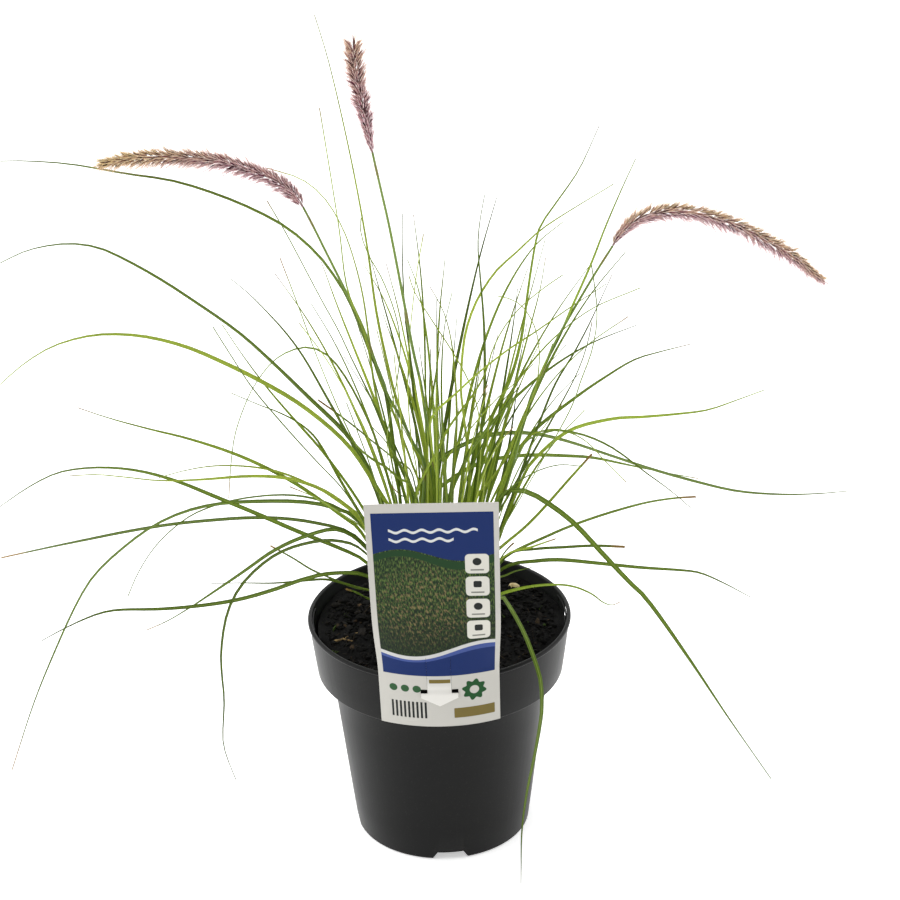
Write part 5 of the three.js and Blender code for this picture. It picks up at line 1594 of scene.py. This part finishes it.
# %% Mix finish
mix_finish = Finish("mix_finish", {"Roughness": 0.95, "Specular IOR Level": 0.15})
mix_tone = mix_finish.value("tone")
mix_grain = mix_finish.noise(700, 4.0)
mix_lumps = mix_finish.noise(160, 3.0)
mix_dark = mix_finish.blend(mix_lumps.rise(0.4, 0.6), tint(5, 5, 5), tint(18, 17, 16))
mix_bark = mix_finish.ramp(mix_tone, (0.0, tint(6, 6, 6)), (0.75, tint(16, 15, 14)), (0.97, tint(30, 26, 22)),
                           (1.0, tint(78, 62, 44)))
mix_colour = mix_finish.blend(mix_grain.rise(0.35, 0.65) * 0.6, mix_bark, mix_dark)
mix_finish.wear("Base Color", mix_finish.blend(mix_finish.value("green") * 0.6, mix_colour, tint(66, 84, 34)))
mix_finish.bump(mix_grain, 0.35)
finished(join(chips, moss, fibres, bed), "bark_mix", mix_finish, "bark_mix", "potting_mix")

# %% [markdown]
# ## Pebble and twig
#
# One pale pebble and a dry forked twig lie on the mix. The pebble is a subdivided ball, pushed out of
# round by a sum of waves. The twig is two rods.

# %% Pebble
pebble_size = (8.5, 6.5, 5)
pebble_turn = -24
pebble_pixel = (514, 584)


def on_mix(pixel, height, lift):
    """Where a line of sight meets the mix."""
    place = place_at_level(pixel, mix_wall_z + height)
    place[2] = mix_top(hypot(place[0], place[1]), atan2(place[1], place[0])) + lift
    return place


pebble = placed(bpy.ops.mesh.primitive_ico_sphere_add, subdivisions=4, radius=1)
shape = places_of(pebble.data)
bulge = (1 + 0.05 * np.sin(2.3 * shape[:, 0] + 1.1) * np.cos(2.9 * shape[:, 1])
         + 0.03 * np.sin(5 * shape[:, 2] + shape[:, 0]))
x, y, z = (shape * bulge[:, None] * np.array(pebble_size) / 2).T
turn = radians(pebble_turn)
shape = np.stack([x * cos(turn) - y * sin(turn), x * sin(turn) + y * cos(turn), z], axis=-1)
put(pebble.data, (shape + on_mix(pebble_pixel, 4, 1.2)) * mm)
smooth(pebble, 60)
pebble_finish = Finish("pebble_finish", {"Roughness": 0.6, "Specular IOR Level": 0.3})
pebble_cloud = pebble_finish.noise(380, 4.0)
pebble_tint = pebble_finish.ramp(pebble_cloud, (0.25, tint(150, 122, 78)), (0.5, tint(206, 186, 138)),
                                 (0.75, tint(228, 214, 176)))
pebble_finish.wear("Base Color", pebble_tint)
pebble_finish.bump(pebble_cloud, 0.15)
finished(pebble, "pale_pebble", pebble_finish, "pebble_stone", "pebble")

# %% Twig
twig_radius = 0.9
twig_pixels = [(334, 640), (343, 637.5), (351, 634), (360, 632)]
twig_fork_pixels = [(343, 637.5), (347, 639), (353, 640)]
twig_template = rod_template(8, 14)
twig_shape = places_of(twig_template)


def twig_rod(pixels, phase):
    """A knobbly rod through some pixels, with half its thickness left at its end."""
    path = smooth_path([on_mix(pixel, 3, 0.5) for pixel in pixels])
    return rod_places(path, twig_shape, lambda t: mix(twig_radius, 0.5 * twig_radius, t)
                      * (1 + 0.16 * np.sin(9 * t + phase) + 0.1 * np.sin(23 * t)))


twig = many(twig_template, np.array([twig_rod(twig_pixels, 0.4), twig_rod(twig_fork_pixels, 2.1)]))
twig_finish = Finish("twig_finish", {"Roughness": 0.85, "Specular IOR Level": 0.2})
twig_cloud = twig_finish.noise(500, 3.0)
twig_tint = twig_finish.ramp(twig_cloud, (0.3, tint(84, 66, 44)), (0.7, tint(152, 128, 88)))
twig_finish.wear("Base Color", twig_tint)
twig_finish.bump(twig_cloud, 0.2)
finished(twig, "forked_twig", twig_finish, "dry_wood", "dry_twig")

# %% [markdown]
# ## Tag
#
# The tag is one printed plastic sheet that hugs the collar and flattens above it. A locking tongue
# with an arrow end is cut out of it. The sheet is modelled flat as a grid, cut with the tongue's
# outline, given a thickness, and only then carried onto the pot, so the print stays true on it.

# %% Flat sheet and tongue
tongue_width, tongue_barb = 17, 26.5
tongue_hinge_z, tongue_barb_z, tongue_shoulder_z, tongue_tip_z = 187, 157.2, 153.6, 146.2
tongue_slip, tongue_proud, tongue_side_gap = 2.6, 0.75, 0.15
tag_height = tag_top_z - tag_foot_z


def flat_sheet(width, low, high, columns, rows):
    """A thin slab that lies in X and Z, with its back at y = 0 and its face at minus its thickness."""
    sheet = placed(bpy.ops.mesh.primitive_grid_add, x_subdivisions=columns, y_subdivisions=rows, size=1)
    sheet.matrix_world = (Matrix.Translation((0, 0, (low + high) / 2 * mm)) @ Matrix.Rotation(pi / 2, 4, "X")
                          @ Matrix.Diagonal((width * mm, (high - low) * mm, 1, 1)))
    bpy.ops.object.transform_apply(location=True, rotation=True, scale=True)
    edit(sheet)
    bpy.ops.mesh.extrude_region_move(TRANSFORM_OT_translate={"value": (0, -tag_thick * mm, 0)})
    return close_up(sheet)


def tongue_block(grow_by, rise, top):
    """A block that reaches through the sheet, with the tongue's outline seen from the front."""
    stem, barb = tongue_width / 2 + grow_by, tongue_barb / 2 + grow_by
    barb_z, shoulder_z = tongue_barb_z + rise, tongue_shoulder_z + rise
    right = [(barb, shoulder_z), (barb, barb_z), (stem, barb_z), (stem, top)]
    left = [(-x, z) for x, z in reversed(right)]
    return upright_block([(0, tongue_tip_z + rise)] + right + left, 5, -5)


sheet = flat_sheet(tag_top_width, tag_foot_z, tag_top_z, 44, 84)
cut(sheet, tongue_block(tongue_side_gap, tongue_slip, tongue_hinge_z))
tongue = flat_sheet(tongue_barb + 2, tongue_tip_z - 1, tongue_hinge_z + 0.4, 18, 30)
cut(tongue, tongue_block(0, 0, tongue_hinge_z + 3), "INTERSECT")
print("sheet and tongue faces:", len(sheet.data.polygons), len(tongue.data.polygons))

# %% Print coordinates and the way onto the pot
crease_z, crease_from, crease_to, crease_proud, crease_reach = 171, 22, 42, 0.5, 2.2


def wrap(piece, proud_at, arrow):
    """Wrap the flat piece onto the pot's front, and give its face the print's own coordinates."""
    mesh = piece.data
    x, lift, z = (places_of(mesh) / mm * (1, -1, 1)).T
    carried(mesh, "print_across", x + tag_top_width / 2)
    carried(mesh, "print_up", z - tag_foot_z)
    carried(mesh, "printed", lift > 0.6 * tag_thick)
    carried(mesh, "arrow", np.full(len(x), arrow))
    narrow = mix(tag_foot_width / tag_top_width, 1, (z - tag_foot_z) / tag_height)
    crease = (crease_proud * np.exp(-((z - crease_z) / crease_reach) ** 2)
              * smoothstep(x, crease_from, crease_to))
    put(mesh, tag_place(x * narrow, z, lift + proud_at(z, x) + crease) * mm)


def tongue_proud_at(z, x):
    """The tongue stands off the sheet below its barb, and bends round the pot less than the sheet does."""
    bent = smoothstep(-z, -(tongue_barb_z + tongue_slip), -(tongue_barb_z - 0.8))
    return bent * (tongue_proud + 0.4) + x * x / (2 * rim_radius) * bent


wrap(sheet, lambda z, x: 0.0, 0.0)
wrap(tongue, tongue_proud_at, 1.0)
tag = join(tongue, sheet)
modified(tag, "BEVEL", width=0.12 * mm, segments=1, limit_method="ANGLE", angle_limit=radians(60))
smooth(tag, 30)
print("tag faces:", len(tag.data.polygons))

# %% [markdown]
# ## Tag print
#
# The print is drawn with sums on two numbers, millimetres across and millimetres up. Its design is a
# plain one of this lesson's own. Between a deep blue head with two wave lines and a blue foot lies a
# dusky meadow with pale plumes. Four light tiles with plain shapes stand at its right. Below are a
# ring of leaves, three dots, a row of bars and a gold patch on white. Each shape is a share from 0 to
# 1, and the layers are laid over each other in the order in which they are listed. Two layers are
# painted light and shade, not print: a painted shadow on the sheet under the tongue's arrow, and the
# tongue's own paper, painted lighter than the sheet and greyer towards the top of its stem.

# %% Shapes of the print
tag_finish = Finish("tag_finish", {"Roughness": 0.4, "Specular IOR Level": 0.12})
across = tag_finish.value("print_across")
up = tag_finish.value("print_up")
middle_off = (across - tag_top_width / 2).size()
layers = []


def rounded(left, right, low, high, corner=0.3, soft=0.15):
    """1 inside a rectangle of the print with round corners, 0 outside."""
    x = ((across - (left + right) / 2).size() - ((right - left) / 2 - corner)).most(0.0)
    y = ((up - (low + high) / 2).size() - ((high - low) / 2 - corner)).most(0.0)
    return ((x * x + y * y) ** 0.5).rise(corner + soft, corner - soft)


def off_centre(x, y):
    """How far a point of the print is from another one."""
    dx, dy = across - x, up - y
    return (dx * dx + dy * dy) ** 0.5


def disc(x, y, radius, soft=0.15):
    return off_centre(x, y).rise(radius + soft, radius - soft)


def over_wave(level, swing, pace, soft=0.2):
    """1 above a waving line of the print and 0 below it, or the other way round where soft is below 0."""
    return (up - level - (across * pace).wave() * swing).rise(-soft, soft)


def lay_print_and_painted_light(share, colour):
    """Lay one more colour over the print where the share is 1, as print or as painted light and shade."""
    layers.append((share, colour))


print("the print is", tag_top_width, "wide and", round(tag_height, 1), "high")

# %% Meadow under a blue head
paper, deep_blue, ink, gold = tint(190, 188, 181), tint(9, 37, 93), tint(30, 34, 32), tint(112, 98, 48)
picture_left, picture_right = 4, 84.6
plume_place = tag_finish.point(across * 0.62 + up * 0.14, up * 0.3)
plumes = tag_finish.noise(1.0, 5.0, plume_place).rise(0.48, 0.7) * off_centre(36, 104).rise(46, 16)
blades = tag_finish.noise(1.0, 4.0, tag_finish.point(across * 1.3, up * 0.35))
meadow = tag_finish.ramp(blades, (0.3, tint(9, 20, 11)), (0.5, tint(30, 52, 24)), (0.66, tint(86, 110, 50)))
dusk = tag_finish.blend(up.rise(118, 72) * 0.65, meadow, tint(12, 20, 12))


def picture(low, high):
    return rounded(picture_left, picture_right, low, high)


lay_print_and_painted_light(picture(45, 177.6), dusk)
lay_print_and_painted_light(picture(64, 150) * plumes * 0.7, tint(138, 118, 80))
lay_print_and_painted_light(picture(132, 177.6) * over_wave(144, 5, 0.075), deep_blue)
lay_print_and_painted_light(picture(132, 150) * over_wave(137.5, 6, 0.075) * over_wave(143, 5, 0.075, -0.2), tint(24, 58, 26))
for low, right in ((163, 74), (156, 58)):
    ripple = (up - low - (across * 0.55).wave() * 1.1).size().rise(1.15, 0.85)
    lay_print_and_painted_light(ripple * across.rise(14.8, 15.2) * across.rise(right + 0.2, right - 0.2), tint(206, 208, 206))
for low, level, swing, colour in ((44, 66, -6, tint(196, 196, 194)), (44, 63, -6, tint(62, 80, 140)),
                                  (43.5, 60, -5, deep_blue)):
    lay_print_and_painted_light(picture(low, 76) * over_wave(level, swing, 0.06, -0.2), colour)
print("layers of the picture:", len(layers))

# %% Tiles, petals and bars
tile_left, tile_right, tile_low, tile_high, tile_pitch = 65, 81, 74, 15.6, 18.2
petal_across, petal_up, petal_count = 69, 30, 8
for k in range(4):
    low = tile_low + tile_pitch * k
    lay_print_and_painted_light(rounded(tile_left, tile_right, low, low + tile_high, 3), tint(208, 206, 196))
    lay_print_and_painted_light(disc(73, low + 9.4, 3) if k % 2 else rounded(70.2, 75.8, low + 6.8, low + 12, 1.2), ink)
    lay_print_and_painted_light(rounded(68.5, 77.5, low + 2.2, low + 3.4), tint(120, 122, 114))
petals = off_centre(petal_across, petal_up)
petal_turn = (across - petal_across).sum("ARCTAN2", up - petal_up, across - petal_across)
flower = (petals + (petal_turn * petal_count).wave() * 1.1).rise(8.2, 7.8) * petals.rise(3.2, 3.6)
lay_print_and_painted_light(flower, tint(22, 74, 34))
lay_print_and_painted_light(rounded(54, 84, 7, 15.5, 0.6), gold)
for k in range(9):
    lay_print_and_painted_light(rounded(9 + 3 * k, 10.6 + 3 * k, 7, 21), ink)
for k in range(3):
    lay_print_and_painted_light(disc(11 + 8.5 * k, 32, 3), tint(44, 84, 50))
print("layers with tiles, petals and bars:", len(layers))

# %% Arrow, its painted light and shadow, and all the layers on paper
arrow = tag_finish.value("arrow")
# A painted shadow: a grey band on the sheet just under the edges of the tongue's arrow.
below_arrow = (up - (tongue_tip_z - tag_foot_z) - middle_off * 0.56) * middle_off.rise(14.2, 13.2)
arrow_painted_shadow = below_arrow.rise(-1.0, -0.1) * below_arrow.rise(0.3, 0.0) * middle_off.rise(14, 13)
lay_print_and_painted_light(arrow_painted_shadow * 0.75, tint(60, 60, 56))
# Painted light and shade: the tongue is cut from the same sheet, but its paper is painted lighter than the
# sheet's, and greyer towards the top of its stem.
arrow_painted_light_and_shade = tag_finish.blend(up.rise(30, 42) * 0.5, tint(222, 220, 214), tint(150, 150, 144))
lay_print_and_painted_light(arrow * up.rise(43.6, 43.2), arrow_painted_light_and_shade)
lay_print_and_painted_light(arrow * rounded(37, 52, 37.4, 40.6, 0.4), gold)
tag_print_and_painted_light = paper
for share, colour in layers:
    tag_print_and_painted_light = tag_finish.blend(share, tag_print_and_painted_light, colour)
tag_finish.wear("Base Color", tag_finish.blend(tag_finish.value("printed"), paper, tag_print_and_painted_light))
finished(tag, "printed_tag", tag_finish, "tag_plastic", "plant_tag")

# %% [markdown]
